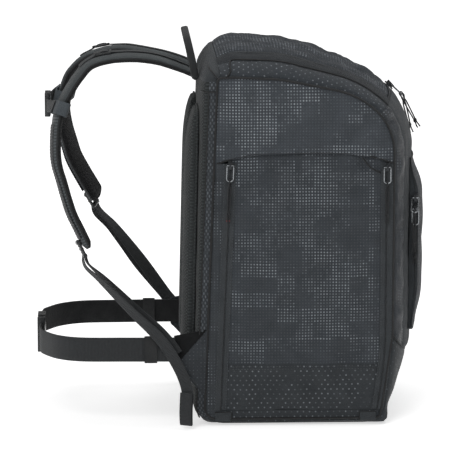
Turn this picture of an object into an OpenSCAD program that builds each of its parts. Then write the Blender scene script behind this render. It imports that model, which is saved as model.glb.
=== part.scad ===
// Ski boot backpack: a top-loading main compartment under a zipped lid,
// a zipped boot compartment in each side, a front pocket, a padded back
// with shoulder straps and a hip belt.
// The origin is at the middle of the base, on the ground. +X is the front of
// the bag, -X the wearer's back, -Y the wearer's left, +Z up.

/* [Bag body] */
// Height of the crown of the lid
bag_height = 597; // [570:1:640]
// From the origin to the foot of the back wall
back_reach = 149; // [140:1:165]
// From the origin to the front wall
front_reach = 201; // [190:1:220]
// From the middle to each side seam
seam_half = 162; // [150:1:180]
// Thickness of the padded fabric
shell_t = 4; // [3:0.5:5]
// Thickness of the base plate
base_t = 3; // [2:0.5:5]
// Room between sewn pieces that move apart
sew_gap = 0.5; // [0.4:0.1:0.8]

/* [Zips] */
// Width of a closed zip chain
zip_w = 4; // [3:0.5:6]
// From the middle to the lid zip on each side
lid_half = 119; // [105:1:130]
// Length of a slider body
slider_l = 13; // [10:0.5:15]
// Width of a slider body
slider_w = 7; // [6:0.5:8]
// Thickness of the wire of a pull
wire_d = 2.2; // [1.6:0.1:2.4]
// Length of the wire bail of a pull
bail_l = 25; // [20:1:30]
// Length of the cord of a pull below its bail
cord_l = 60; // [45:1:75]
// Thickness of the pull cord
cord_d = 2.2; // [1.6:0.1:2.6]

/* [Boot doors] */
// Height of the arched hood over each boot door
hood_z = 428; // [400:1:435]
// How far the ends of the hood drop below its middle
hood_drop = 16; // [8:1:22]
// How far the hood stands proud of the side
hood_t = 3.5; // [2:0.5:4]
// Height of the sewn lower edge of a door
door_sill = 25; // [25:1:40]
// How far a door swells out at its middle
door_bulge = 7; // [2:0.5:9]
// From the middle to each boot compartment wall
liner_y = 50; // [40:1:60]

/* [Front pocket] */
// From the middle to each edge of the pocket
pocket_half = 110; // [95:1:118]
// Height of the top of the pocket
pocket_top = 412; // [390:1:415]
// Height of the foot of the pocket
pocket_foot = 136; // [134:1:170]
// How far the pocket stands out from the front wall
pocket_deep = 13; // [10:0.5:18]

/* [Back pads] */
// Thickness of a back pad at its crown
pad_t = 19; // [12:1:24]
// Width of a back pad
pad_w = 118; // [90:1:122]
// From the middle to each back pad
pad_in = 24; // [15:1:30]
// Height of the foot of the pads
pad_foot = 60; // [50:1:90]
// Height of the top of the pads
pad_top = 496; // [440:1:510]

/* [Shoulder harness] */
// Width of a shoulder strap
strap_w = 64; // [54:1:70]
// Thickness of a shoulder strap
strap_t = 15; // [10:0.5:17]
// Width of the adjusting webbing
web_w = 20; // [15:1:25]
// Thickness of the adjusting webbing
web_t = 1.6; // [1:0.1:2]
// Width of the sternum strap
sternum_w = 20; // [15:1:22]
// From the middle to each leg of the grab handle
handle_half = 96; // [94:1:105]
// Height of the grip of the handle above its feet
handle_rise = 60; // [55:1:80]

/* [Hip belt] */
// Width of the hip belt webbing
belt_w = 38; // [30:1:40]
// Thickness of the hip belt webbing
belt_t = 2.4; // [1.5:0.1:3]
// Height of the middle of the belt
belt_z = 122; // [112:1:135]
// From the back of the wings to the buckle
belt_reach = 211; // [190:1:240]

/* [Hidden] */
$fn = 32;

fabric = "#3c4044";
plain = "#2b2e31";
mesh = "#26282a";
strapping = "#232527";
plastic = "#1c1d1f";
metal = "#b9bcc0";

function unit(v) = v / norm(v);
function sgn(x) = x < 0 ? -1 : 1;
function total(v, n) = n <= 0 ? 0 : v[n - 1] + total(v, n - 1);

// The side outline on the middle plane, and the seam line of the side panels,
// corner for corner: foot of the back, yoke, crown, front and base.
bx = -back_reach;
fx = front_reach;
top = bag_height;
slope = tan(36);
lean = 12;
wall = [[bx, base_t], [bx + lean, top - 56], [bx + 30, top - 15], [bx + 59, top],
  [fx - 211, top], [fx - 91, top - 40], [fx, top - 40 - 91 * slope], [fx, 112],
  [fx - 35, 28], [fx - 40, base_t]];
seam = [[bx + 18, base_t + 9], [bx + 39, top - 57], [bx + 43, top - 52.5], [bx + 64, top - 52],
  [fx - 216, top - 55], [fx - 103, top - 77.5], [fx - 39.5, top - 77.5 - 63.5 * slope],
  [fx - 39.5, 145], [fx - 55, 32], [fx - 59, base_t + 9]];
wall_r = [30, 12, 14, 60, 250, 220, 130, 60, 30, 8];
seam_r = [18, 4, 6, 30, 250, 130, 90, 40, 20, 8];
arc_n = [4, 2, 3, 3, 4, 4, 10, 4, 2, 4];
square_n = [8, 6, 2, 2, 2, 2, 2, 2, 4, 10];

// Points of a round corner at q between the neighbours p and r.
function corner(p, q, r, rad, n) =
  let (a = unit(p - q), b = unit(r - q), half = acos(a * b) / 2,
    c = q + unit(a + b) * rad / sin(half), s = q + a * rad / tan(half) - c,
    e = q + b * rad / tan(half) - c, a0 = atan2(s.y, s.x),
    turn = atan2(s.x * e.y - s.y * e.x, s * e))
  [for (k = [0:n]) c + rad * [cos(a0 + turn * k / n), sin(a0 + turn * k / n)]];
function rounded(c, r) = [for (i = [0:len(c) - 1])
  each corner(c[(i + len(c) - 1) % len(c)], c[i], c[(i + 1) % len(c)], r[i], arc_n[i])];
wall_line = rounded(wall, wall_r);
seam_line = rounded(seam, seam_r);
squares = [for (i = [0:len(wall) - 1]) each [for (k = [0:arc_n[i]]) square_n[i]]];
ring_n = len(wall_line);
function arc_start(c) = total(arc_n, c) + c;
function arc_end(c) = arc_start(c) + arc_n[c];

// A place on a line of points, between two of them where i is not whole.
function along(v, i) = let (k = floor(i), f = i - k)
  v[k % ring_n] * (1 - f) + v[(k + 1) % ring_n] * f;

// The body swells from the seam to the wall line as the angle goes from 90 to 0.
function bag_point(i, a) =
  let (o = along(wall_line, i), s = along(seam_line, i), n = along(squares, i),
    g = 1 - pow(abs(cos(a)), 2 / n), p = o + (s - o) * g)
  [p.x, seam_half * sgn(a) * pow(abs(sin(a)), 2 / n), p.y];
function bag_normal(i, a) =
  let (d = along(wall_line, i) - along(seam_line, i), n = along(squares, i),
    w = unit(along(wall_line, i + 0.5) - along(wall_line, i + ring_n - 0.5)), u = [-w.y, w.x],
    ky = sgn(a) * pow(abs(sin(a)), 2 - 2 / n) / seam_half,
    ko = pow(abs(cos(a)), 2 - 2 / n) / abs(d * u))
  unit([u.x * ko, ky, u.y * ko]);
function bag_at(i, a, t) = bag_point(i, a) + t * bag_normal(i, a);

// A sheet between an outer and an inner grid of points, n rows of m.
function tri(a, b, c, d) = [[a, b, c], [a, c, d]];
module sheet(outer, inner) {
  n = len(outer);
  m = len(outer[0]);
  q = n * m;
  points = concat([for (r = outer) each r], [for (r = inner) each r]);
  faces = concat(
    [for (i = [0:n - 2]) for (j = [0:m - 2])
      each tri(i * m + j, i * m + j + 1, (i + 1) * m + j + 1, (i + 1) * m + j)],
    [for (i = [0:n - 2]) for (j = [0:m - 2])
      each tri(q + i * m + j, q + (i + 1) * m + j, q + (i + 1) * m + j + 1, q + i * m + j + 1)],
    [for (j = [0:m - 2]) each tri(j + 1, j, q + j, q + j + 1)],
    [for (j = [0:m - 2]) let (k = (n - 1) * m + j) each tri(k + 1, q + k + 1, q + k, k)],
    [for (i = [0:n - 2]) each tri(i * m, (i + 1) * m, q + (i + 1) * m, q + i * m)],
    [for (i = [0:n - 2]) let (k = i * m + m - 1) each tri(k, q + k, q + k + m, k + m)]);
  polyhedron(points, faces);
}

// A sewn panel of the bag between two places along the outline and two angles.
function rows(i0, i1) = concat([i0], [for (i = [floor(i0) + 1:ceil(i1) - 1]) i], [i1]);
module panel(i0, i1, a0, a1, m, under, over = 0) {
  sheet([for (i = rows(i0, i1)) [for (k = [0:m]) bag_at(i, a0 + (a1 - a0) * k / m, over)]],
    [for (i = rows(i0, i1)) [for (k = [0:m]) bag_at(i, a0 + (a1 - a0) * k / m, -under)]]);
}

// Smooth route through hand-chosen points.
function knot(p, i) = p[max(0, min(len(p) - 1, i))];
function smooth(p, sub) = [for (i = [0:len(p) - 2]) for (k = [0:sub - (i == len(p) - 2 ? 0 : 1)])
  let (t = k / sub, a = knot(p, i - 1), b = p[i], c = p[i + 1], d = knot(p, i + 2))
  0.5 * (2 * b + (c - a) * t + (2 * a - 5 * b + 4 * c - d) * t * t
    + (3 * b - a - 3 * c + d) * t * t * t)];

// Frame at each point of a route: place, way along, way across, way out.
// The turn about the route is made between the shares from and by of its points.
function ways(p, turn0, turn1, side = [0, 1, 0], from = 0, by = 1) = [for (i = [0:len(p) - 1])
  let (t = unit(knot(p, i + 1) - knot(p, i - 1)),
    w = turn0 + (turn1 - turn0) * max(0, min(1, (i / (len(p) - 1) - from) / (by - from))),
    b0 = unit(side - t * (side * t)), n0 = cross(b0, t), b = b0 * cos(w) + n0 * sin(w))
  [p[i], t, b, cross(b, t)]];

// A closed band through rings of points.
module band(rings) {
  n = len(rings);
  m = len(rings[0]);
  polyhedron([for (r = rings) each r], concat(
    [for (i = [0:n - 2]) for (j = [0:m - 1]) let (k = (j + 1) % m)
      each tri(i * m + j, (i + 1) * m + j, (i + 1) * m + k, i * m + k)],
    [for (j = [1:m - 2]) [0, j, j + 1]],
    [for (j = [1:m - 2]) let (q = (n - 1) * m) [q, q + j + 1, q + j]]));
}
function flat_ring(w, half_w, half_t) = [for (c = [[1, 1], [1, -1], [-1, -1], [-1, 1]])
  w[0] + w[2] * c.x * half_w + w[3] * c.y * half_t];
function soft_ring(w, half_w, half_t, m = 12) = [for (k = [0:m - 1]) let (a = -360 * k / m)
  w[0] + w[2] * half_w * sgn(cos(a)) * pow(abs(cos(a)), 0.6)
    + w[3] * half_t * sgn(sin(a)) * pow(abs(sin(a)), 0.75)];
module ribbon(frames, w, t) {
  band([for (f = frames) flat_ring(f, w / 2, t / 2)]);
}

// Places of the lid, the pocket and the harness on the body.
lid_a = asin(lid_half / seam_half);
lid_back = arc_end(2);
lid_front = arc_start(6) + 2;
zip_half = zip_w / 2;
zip_room = zip_half + sew_gap;
lid_deg = norm([seam_half * cos(lid_a), 54 * sin(lid_a)]) * PI / 180;
lid_step = wall_r[6] * 5.4 * PI / 180;
front_i0 = arc_end(6);
front_z0 = along(wall_line, front_i0).y;
front_z1 = along(wall_line, front_i0 + 1).y;
function front_i(z) = front_i0 + (front_z0 - z) / (front_z0 - front_z1);
pocket_a = asin(pocket_half / seam_half);
pocket_deg = norm([seam_half * cos(pocket_a), 39.5 * sin(pocket_a)]) * PI / 180;
root_x = bx + lean - strap_t * 0.4 - sew_gap - 0.3;
root_z = top - 56;
wing_y = seam_half + sew_gap;
wing_t = 3;
wing_x = bx - 27;
buckle_x = wing_x - belt_reach;

module back_panel() {
  color(fabric) panel(2, arc_start(1), -90, 90, 16, shell_t);
}

module top_yoke() {
  color(fabric) panel(arc_start(1), lid_back - 0.02, -90, 90, 16, shell_t);
}

module front_panel() {
  color(fabric) panel(lid_front + zip_room / lid_step, arc_end(7), -90, 90, 16, shell_t);
}

module base_wrap() {
  color(plain) panel(arc_end(7), ring_n + 2, -90, 90, 16, shell_t);
}

module top_strip() {
  color(fabric)
    panel(lid_back - 0.02, lid_front + zip_room / lid_step, -90, -lid_a - zip_room / lid_deg, 5,
      shell_t);
}

module top_strip_left() {
  top_strip();
}

module top_strip_right() {
  mirror([0, 1, 0]) top_strip();
}

module lid_panel() {
  a = lid_a - zip_room / lid_deg;
  color(fabric)
    panel(lid_back + sew_gap / 8, lid_front - zip_room / lid_step, -a, a, 12, shell_t);
}

module lid_zip() {
  da = zip_half / lid_deg;
  di = zip_half / lid_step;
  color(plain) {
    for (s = [-1, 1])
      panel(lid_back + sew_gap / 8, lid_front - zip_room / lid_step,
        s * lid_a - da, s * lid_a + da, 1, shell_t - 1, 0.4);
    panel(lid_front - di, lid_front + di, -lid_a, lid_a, 12, shell_t - 1, 0.4);
  }
}

module base_panel() {
  x0 = seam[0].x + 14;
  x1 = seam[9].x - 4;
  y = seam_half - 20;
  color(plastic) linear_extrude(base_t)
    polygon([for (c = [[x1, y], [x0, y], [x0, -y], [x1, -y]]) for (k = [0:6])
      let (s = [c.x > 0 ? 1 : -1, c.y > 0 ? 1 : -1], a = s.x * s.y > 0 ? k * 15 : 90 - k * 15)
      [c.x - s.x * 20 * (1 - cos(a)), c.y - s.y * 20 * (1 - sin(a))]]);
}

module base_board() {
  color(plain)
    translate([seam[0].x + 20, -seam_half + 36, base_t + shell_t + sew_gap])
      cube([seam[9].x - seam[0].x - 36, 2 * seam_half - 72, 2]);
}

// Straight stretch of the back wall: its middle plane leans forward as it rises.
back_z0 = wall[0].y;
back_lean = atan2(lean, wall[1].y - back_z0);
module on_back(z, out) {
  translate([bx + (z - back_z0) * tan(back_lean), 0, z]) rotate([0, back_lean, 0])
    translate([-out, 0, 0]) children();
}

// The frame sheet stands behind the back panel, with two flat stays on it.
sheet_w = 184;
sheet_t = 1.5;
sheet_foot = 45;
sheet_below = 85;
stay_w = 24;
stay_t = 3;
stay_y = 46;
stay_inset = 7;
module frame_sheet() {
  color("#8d9094") on_back(sheet_foot, -shell_t - sew_gap) translate([0, -sheet_w / 2, 0])
    cube([sheet_t, sheet_w, top - sheet_below - sheet_foot]);
}

module frame_stays() {
  color(metal) for (y = [-stay_y, stay_y])
    on_back(sheet_foot + stay_inset, -shell_t - sew_gap - sheet_t)
      translate([0, y - stay_w / 2, 0])
        cube([stay_t, stay_w, top - sheet_below - sheet_foot - 2 * stay_inset]);
}

// Height of the hood edge along the side, and the lines of the two door zips.
hood_x0 = bx + 41;
hood_x1 = fx - 44;
function hood_at(x) = let (s = (2 * x - hood_x0 - hood_x1) / (hood_x1 - hood_x0))
  hood_z - hood_drop * pow(min(1, abs(s)), 3.5);
rear_top = bx + 59;
rear_foot = bx + 43;
front_x = fx - 50;
front_foot = fx - 62;
front_bend = 140;
function rear_zip(z) = rear_foot + (rear_top - rear_foot) * (z - 28) / (hood_z - 28);
function front_zip(z) = z > front_bend ? front_x
  : front_x + (front_foot - front_x) * pow((front_bend - z) / (front_bend - 28), 1.6);

// The opening between the zips, drawn in by d, up to gap below the hood.
hood_steps = 14;
zip_steps = 6;
function opening(d, foot, gap) =
  let (x0 = rear_zip(hood_z) + d, x1 = front_x - d)
  concat([[rear_zip(foot) + d, foot]],
    [for (k = [0:hood_steps]) let (x = x0 + (x1 - x0) * k / hood_steps) [x, hood_at(x) - gap]],
    [for (k = [0:zip_steps]) let (z = front_bend + (foot - front_bend) * k / zip_steps)
      [front_zip(z) - d, z]]);

module upright(y0, y1) {
  translate([0, y1, 0]) rotate([90, 0, 0]) linear_extrude(y1 - y0) children();
}

module side_panel() {
  color(fabric) {
    upright(-seam_half, -seam_half + shell_t) difference() {
      polygon(seam_line);
      polygon(opening(-zip_room, door_sill - sew_gap, 0));
    }
    upright(-seam_half - hood_t, -seam_half + shell_t / 2)
      polygon(concat(
        [for (k = [0:hood_steps]) let (x = hood_x0 + (hood_x1 - hood_x0) * k / hood_steps)
          [x, hood_at(x) + 1]],
        [for (k = [hood_steps:-1:0]) let (x = hood_x0 + (hood_x1 - hood_x0) * k / hood_steps)
          [x, hood_at(x) + 24]]));
  }
}

module side_panel_left() {
  side_panel();
}

module side_panel_right() {
  mirror([0, 1, 0]) side_panel();
}

module door_zips() {
  z0 = door_sill;
  color(plain) for (s = [0, 1]) mirror([0, s, 0]) upright(-seam_half - 0.5, -seam_half + 2) {
    polygon([[rear_zip(z0) - zip_half, z0], [rear_zip(z0) + zip_half, z0],
      [rear_zip(hood_z) + zip_half, hood_at(rear_zip(hood_z)) - 2],
      [rear_zip(hood_z) - zip_half, hood_at(rear_zip(hood_z)) - 2]]);
    polygon(concat([for (k = [0:zip_steps]) let (z = z0 + (front_bend - z0) * k / zip_steps)
        [front_zip(z) - zip_half, z]],
      [[front_x - zip_half, hood_at(front_x) - 2], [front_x + zip_half, hood_at(front_x) - 2]],
      [for (k = [zip_steps:-1:0]) let (z = z0 + (front_bend - z0) * k / zip_steps)
        [front_zip(z) + zip_half, z]]));
  }
}

// A boot door swells between its sewn foot, its zips and the hood.
door_rows = 12;
door_cols = 10;
function door_point(s, t, y) =
  let (g = hood_at(rear_zip(hood_z) + zip_room
      + s * (front_x - rear_zip(hood_z) - 2 * zip_room)) - sew_gap,
    z = door_sill + t * (g - door_sill), x0 = rear_zip(z) + zip_room, x1 = front_zip(z) - zip_room,
    swell = door_bulge * pow(4 * s * (1 - s), 0.7) * pow(4 * t * (1 - t), 0.7))
  [x0 + s * (x1 - x0), -seam_half - swell + y, z];
module boot_door() {
  color(fabric) sheet(
    [for (i = [0:door_rows]) [for (j = [0:door_cols])
      door_point(1 - j / door_cols, i / door_rows, 0)]],
    [for (i = [0:door_rows]) [for (j = [0:door_cols])
      door_point(1 - j / door_cols, i / door_rows, shell_t - 1)]]);
}

module boot_door_left() {
  boot_door();
}

module boot_door_right() {
  mirror([0, 1, 0]) boot_door();
}

// Wall and ceiling of a boot compartment.
module boot_liner() {
  x0 = bx + lean + shell_t + 6;
  z0 = base_t + shell_t + sew_gap + 2;
  z1 = hood_z + 6;
  color(plain) {
    upright(-liner_y - 2, -liner_y) polygon([[x0, z0], [fx - 60, z0],
      [fx - 40, 50], [fx - shell_t - 8, 116], [fx - shell_t - 4, z1], [x0, z1]]);
    translate([x0 + 16, -seam_half + shell_t, z1])
      cube([hood_x1 - x0 - 26, seam_half - shell_t - liner_y, 2]);
  }
}

module boot_liner_left() {
  boot_liner();
}

module boot_liner_right() {
  mirror([0, 1, 0]) boot_liner();
}

// Crowned pad with drawn-in sides.
pad_cols = 12;
pad_rows = 16;
function bulge(s) = pow(max(0, 1 - pow(abs(2 * s - 1), 4)), 0.5);
module back_pad() {
  long = pad_top - pad_foot;
  function edge(k, n) = 0.5 - 0.5 * cos(180 * k / n);
  function place(i, j, h) = let (s = edge(j, pad_cols), t = edge(i, pad_rows),
      c = bulge(s) * bulge(t), draw = 1 - 0.05 * (1 - c))
    [-h * (2 + (pad_t - 2) * c), -pad_in - pad_w / 2 + (s - 0.5) * pad_w * (h > 0 ? draw : 0.93),
      long / 2 + (t - 0.5) * long * (h > 0 ? 1 : 0.985)];
  color(mesh) on_back(pad_foot, 0.3) sheet(
    [for (i = [0:pad_rows]) [for (j = [0:pad_cols]) place(i, j, 1)]],
    [for (i = [0:pad_rows]) [for (j = [0:pad_cols]) place(i, j, 0)]]);
}

module back_pad_left() {
  back_pad();
}

module back_pad_right() {
  mirror([0, 1, 0]) back_pad();
}

// The front pocket: a low wall on three sides, its zip, and a flap.
pocket_i0 = front_i(pocket_top);
pocket_i1 = front_i(pocket_foot);
pocket_step = front_z0 - front_z1;
pocket_rim = pocket_deep - zip_w - sew_gap;
seat_gap = 0.25;
module pocket_ring(under, over) {
  da = 3 / pocket_deg;
  di = 3 / pocket_step;
  for (s = [-1, 1])
    panel(pocket_i0, pocket_i1, s > 0 ? pocket_a - da : -pocket_a, s > 0 ? pocket_a : da - pocket_a,
      1, under, over);
  panel(pocket_i0, pocket_i0 + di, da - pocket_a, pocket_a - da, 10, under, over);
}

module pocket_gusset() {
  color(fabric) {
    pocket_ring(-seat_gap, pocket_rim);
    panel(pocket_i1 - 3 / pocket_step, pocket_i1, -pocket_a + 3 / pocket_deg,
      pocket_a - 3 / pocket_deg, 10, -seat_gap, pocket_deep - sew_gap);
  }
}

module pocket_zip() {
  color(plain) pocket_ring(-pocket_rim, pocket_deep - sew_gap);
}

module pocket_flap() {
  color(fabric) panel(pocket_i0, pocket_i1, -pocket_a, pocket_a, 10, -pocket_deep, pocket_deep + 3);
}

// Sewn tabs over the lower corners of the side panels.
module corner_tabs() {
  color(strapping) for (s = [0, 1]) mirror([0, s, 0]) for (x = [bx + 34, fx - 90])
    translate([x, -seam_half - 2.4, base_t + 5]) cube([26, 2.4, door_sill - base_t - 6]);
}

// A zip slider with a bored bridge, and its pull: a wire bail and a knotted cord.
// Here +Y points away from the zip and -Z is the way that the pull hangs.
pin_y = 3.2 + wire_d;
pin_d = wire_d - 0.2;
pin_room = 0.1;
module slider() {
  color(metal) {
    translate([-slider_w / 2, 0.9, -slider_l / 2]) cube([slider_w, 2.2, slider_l]);
    difference() {
      translate([-1.5, 2.9, -4.5]) cube([3, pin_y - 2.9 + wire_d / 2 + 1.4, 9]);
      translate([0, pin_y, 0]) rotate([0, 90, 0])
        cylinder(d = pin_d + 2 * pin_room, h = 10, center = true);
    }
  }
}
bail_x = slider_w / 2 + wire_d / 2 + 0.5;
bail_drop = bail_l - bail_x;
// The wire frame of a bail, drawn flat: straight legs from height h and a round foot.
function bail_line(r, h) = concat([[r, h]],
  [for (k = [0:12]) [r * cos(15 * k), -bail_drop - r * sin(15 * k)]], [[-r, h]]);
module bail_ring(half, h, thick) {
  translate([0, thick / 2, 0]) rotate([90, 0, 0]) linear_extrude(thick) difference() {
    polygon(bail_line(bail_x + half, h));
    polygon(bail_line(bail_x - half, h + 1));
  }
}
// The cord is looped round the foot of the bail, knotted, and ends in two strands.
loop_gap = 0.3;
module strand(half_w, half_t, long) {
  translate([0, 0, -long]) linear_extrude(long)
    polygon([for (c = [[1, 0.4], [0.7, 1], [-0.7, 1], [-1, 0.4], [-1, -0.4], [-0.7, -1], [0.7, -1],
      [1, -0.4]]) [c.x * half_w, c.y * half_t]]);
}
module pull(lift = 0, hang = 0) {
  rw = wire_d / 2;
  head = rw + loop_gap + cord_d * 0.55;
  translate([0, pin_y, 0]) {
    color(metal) rotate([lift, 0, 0]) {
      rotate([0, 90, 0]) cylinder(d = pin_d, h = 2 * bail_x, center = true);
      bail_ring(rw, rw, wire_d);
    }
    color(strapping) {
      rotate([lift, 0, 0]) difference() {
        translate([-cord_d, -head, -bail_l - head]) cube([2 * cord_d, 2 * head, 2 * head]);
        bail_ring(rw + loop_gap, rw, wire_d + 2 * loop_gap);
      }
      translate([0, sin(lift) * bail_l, -cos(lift) * bail_l]) rotate([hang, 0, 0])
        translate([0, 0, 0.6 - head]) {
        strand(cord_d * 0.93, cord_d * 0.5, cord_l);
        translate([0, 0, -cord_l * 0.76]) strand(cord_d * 1.4, cord_d * 1.3, cord_l * 0.1);
      }
    }
  }
}
rear_slide_z = hood_at(rear_zip(hood_z)) - slider_l / 2 - 1.5;
front_slide_z = hood_at(front_x) - slider_l / 2 - 1.5;
rear_tilt = atan2(rear_top - rear_foot, hood_z - 28);
module at_rear() {
  translate([rear_zip(rear_slide_z), -seam_half, rear_slide_z]) rotate([0, rear_tilt, 0])
    rotate([0, 0, 180]) children();
}
module at_front() {
  translate([front_x, -seam_half, front_slide_z]) rotate([0, 0, 180]) children();
}
lid_slide_y = 13;
lid_lift = 4;
lid_hang_left = -20;
lid_hang_right = -12;
module at_lid() {
  p = bag_point(lid_front, 0);
  translate([p.x, -lid_slide_y, p.z]) rotate([0, -43.2, 0]) rotate([0, 0, -90]) children();
}
// Two sliders of the pocket meet on its left edge; the upper pull lies over the lower one.
pocket_slide_z = 340;
pocket_slide_gap = 9;
pocket_lift = 32;
module at_pocket(z) {
  i = front_i(z);
  n = bag_normal(i, -pocket_a);
  translate(bag_at(i, -pocket_a, pocket_deep - zip_half - sew_gap))
    rotate([0, 0, 180 + atan2(n.y, n.x)]) children();
}

module lid_slider_left() {
  at_lid() slider();
}

module lid_slider_right() {
  mirror([0, 1, 0]) at_lid() slider();
}

module lid_pull_left() {
  at_lid() pull(lid_lift, lid_hang_left);
}

module lid_pull_right() {
  mirror([0, 1, 0]) at_lid() pull(lid_lift, lid_hang_right);
}

module left_rear_slider() {
  at_rear() slider();
}

module left_rear_pull() {
  at_rear() pull();
}

module left_front_slider() {
  at_front() slider();
}

module left_front_pull() {
  at_front() pull();
}

module right_rear_slider() {
  mirror([0, 1, 0]) at_rear() slider();
}

module right_rear_pull() {
  mirror([0, 1, 0]) at_rear() pull();
}

module right_front_slider() {
  mirror([0, 1, 0]) at_front() slider();
}

module right_front_pull() {
  mirror([0, 1, 0]) at_front() pull();
}

module pocket_upper_slider() {
  at_pocket(pocket_slide_z + pocket_slide_gap) slider();
}

module pocket_upper_pull() {
  at_pocket(pocket_slide_z + pocket_slide_gap) pull(pocket_lift);
}

module pocket_lower_slider() {
  at_pocket(pocket_slide_z - pocket_slide_gap) slider();
}

module pocket_lower_pull() {
  at_pocket(pocket_slide_z - pocket_slide_gap) pull();
}

// Routes of the shoulder straps from their sewn roots, relative to the root line.
left_route = [[0, -52, 0], [-20, -53, 9], [-58, -55, 22], [-96, -58, 27], [-134, -63, 25],
  [-162, -68, 16], [-180, -73, -3], [-196, -78, -27], [-208, -82, -52], [-214, -86, -77],
  [-216, -91, -114], [-214, -94, -138], [-207, -97, -163], [-200, -100, -188], [-192, -103, -213],
  [-180, -106, -238], [-170, -108, -259]];
right_route = [[0, 52, 0], [-20, 53, 9], [-58, 55, 19], [-115, 61, 27], [-154, 66, 19],
  [-173, 69, 9], [-188, 72, -6], [-196, 74, -19], [-204, 78, -45], [-208, 82, -71],
  [-205, 86, -98], [-198, 90, -125], [-190, 94, -151], [-176, 98, -178], [-157, 103, -211]];
root = [root_x, 0, root_z];
left_ways = ways(smooth([for (p = left_route) root + p], 2), 0, 9);
right_ways = ways(smooth([for (p = right_route) root + p], 2), 0, -22);
strap_half = strap_t / 2;
root_r = strap_t * 0.4;
strap_tip = 10;
// Width and thickness of a strap along its length, s from 0 to 1.
function strap_width(s) = strap_w / 2 * (0.86 + 0.14 * min(1, s * 5)) * (1 - 0.24 * max(0, s - 0.6) / 0.4);
function strap_depth(s) = root_r + (strap_half - root_r) * min(1, s * 7);
module shoulder_strap(w) {
  n = len(w) - 1;
  f = w[0];
  e = w[n];
  color(plain) band(concat(
    [for (k = [0.96, 0.8, 0.45])
      soft_ring([f[0] - f[1] * root_r * k, f[1], f[2], f[3]], strap_width(0), root_r * sqrt(1 - k * k))],
    [for (i = [0:n]) soft_ring(w[i], strap_width(i / n), strap_depth(i / n))],
    [for (k = [0.5, 0.85, 0.98]) soft_ring([e[0] + e[1] * strap_tip * k, e[1], e[2], e[3]],
      strap_width(1) * sqrt(1 - k * k), strap_half * (1 - 0.6 * k))]));
}

module shoulder_strap_left() {
  shoulder_strap(left_ways);
}

module shoulder_strap_right() {
  shoulder_strap(right_ways);
}

// Load lifters lie along the top of each strap from a buckle to the root.
module lifter_webbing(w, i1) {
  ribbon([for (i = [1:i1]) [w[i][0] + w[i][3] * (strap_depth(i / (len(w) - 1)) + web_t / 2 + 0.4),
    w[i][1], w[i][2], w[i][3]]], web_w, web_t);
}

module load_lifter_webbing() {
  color(strapping) {
    lifter_webbing(left_ways, 7);
    lifter_webbing(right_ways, 6);
  }
}

// A flat three-bar buckle lying in the frame of a route: along, across, out.
module bar_buckle(f, web, long, thick) {
  o = f[1];
  tilt = atan2(-o.x, -o.z);
  roll = atan2(-f[3].y, -cos(tilt) * f[3].x + sin(tilt) * f[3].z);
  translate(f[0]) rotate([0, tilt, 0]) rotate([0, 0, roll]) rotate([0, 90, 0]) difference() {
    cube([long, web + 8, thick], center = true);
    for (x = [-0.24, 0.24]) translate([x * long, 0, 0])
      cube([long * 0.22, web + 1, thick + 1], center = true);
  }
}
function raised(w, i, h, along = 0) = [w[i][0] + w[i][3] * (strap_half + h) + w[i][1] * along,
  w[i][1], w[i][2], w[i][3]];

lifter_t = 4;
module load_lifter_buckles() {
  color(plastic) {
    bar_buckle(raised(left_ways, 8, lifter_t / 2 + 0.15, 5), web_w, 24, lifter_t);
    bar_buckle(raised(right_ways, 7, lifter_t / 2 + 0.15, 5), web_w, 24, lifter_t);
  }
}

// Ladder locks hang at the lower end of each strap on its outer face.
lock_l = 28;
lock_lift = 3;
left_lock = raised(left_ways, len(left_ways) - 1, lock_lift, 6);
right_lock = raised(right_ways, len(right_ways) - 1, lock_lift, 6);
module ladder_locks() {
  color(plastic) {
    bar_buckle(left_lock, web_w, lock_l, 4.4);
    bar_buckle(right_lock, web_w, lock_l, 4.4);
  }
}

// Adjusting webbing from each ladder lock down to the belt wing, and its free tail.
wing_in = [wing_x + 8, wing_y + wing_t + web_t / 2 + 0.3, belt_z];
left_end = left_lock[0] + left_lock[1] * (lock_l / 2 + 0.6);
right_end = right_lock[0] + right_lock[1] * (lock_l / 2 + 0.6);
left_web = [left_end, left_end + left_lock[1] * 13, left_end + [26, -10, -29], left_end + [51, -22, -52],
  left_end + [84, -37, -83], [wing_in.x - 36, -wing_in.y, belt_z + 32],
  [wing_in.x - 16, -wing_in.y, belt_z + 9], [wing_in.x - 6, -wing_in.y, belt_z - 6]];
right_web = [right_end, right_end + right_lock[1] * 13, right_end + [27, 10, -34],
  right_end + [50, 22, -65], right_end + [76, 36, -102],
  [wing_in.x - 26, wing_in.y, belt_z + 38], [wing_in.x - 8, wing_in.y, belt_z + 12],
  [wing_in.x, wing_in.y, belt_z - 3]];

module lower_webbing_left() {
  color(strapping) ribbon(ways(smooth(left_web, 3), 9, 90, by = 0.7), web_w, web_t);
}

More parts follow.
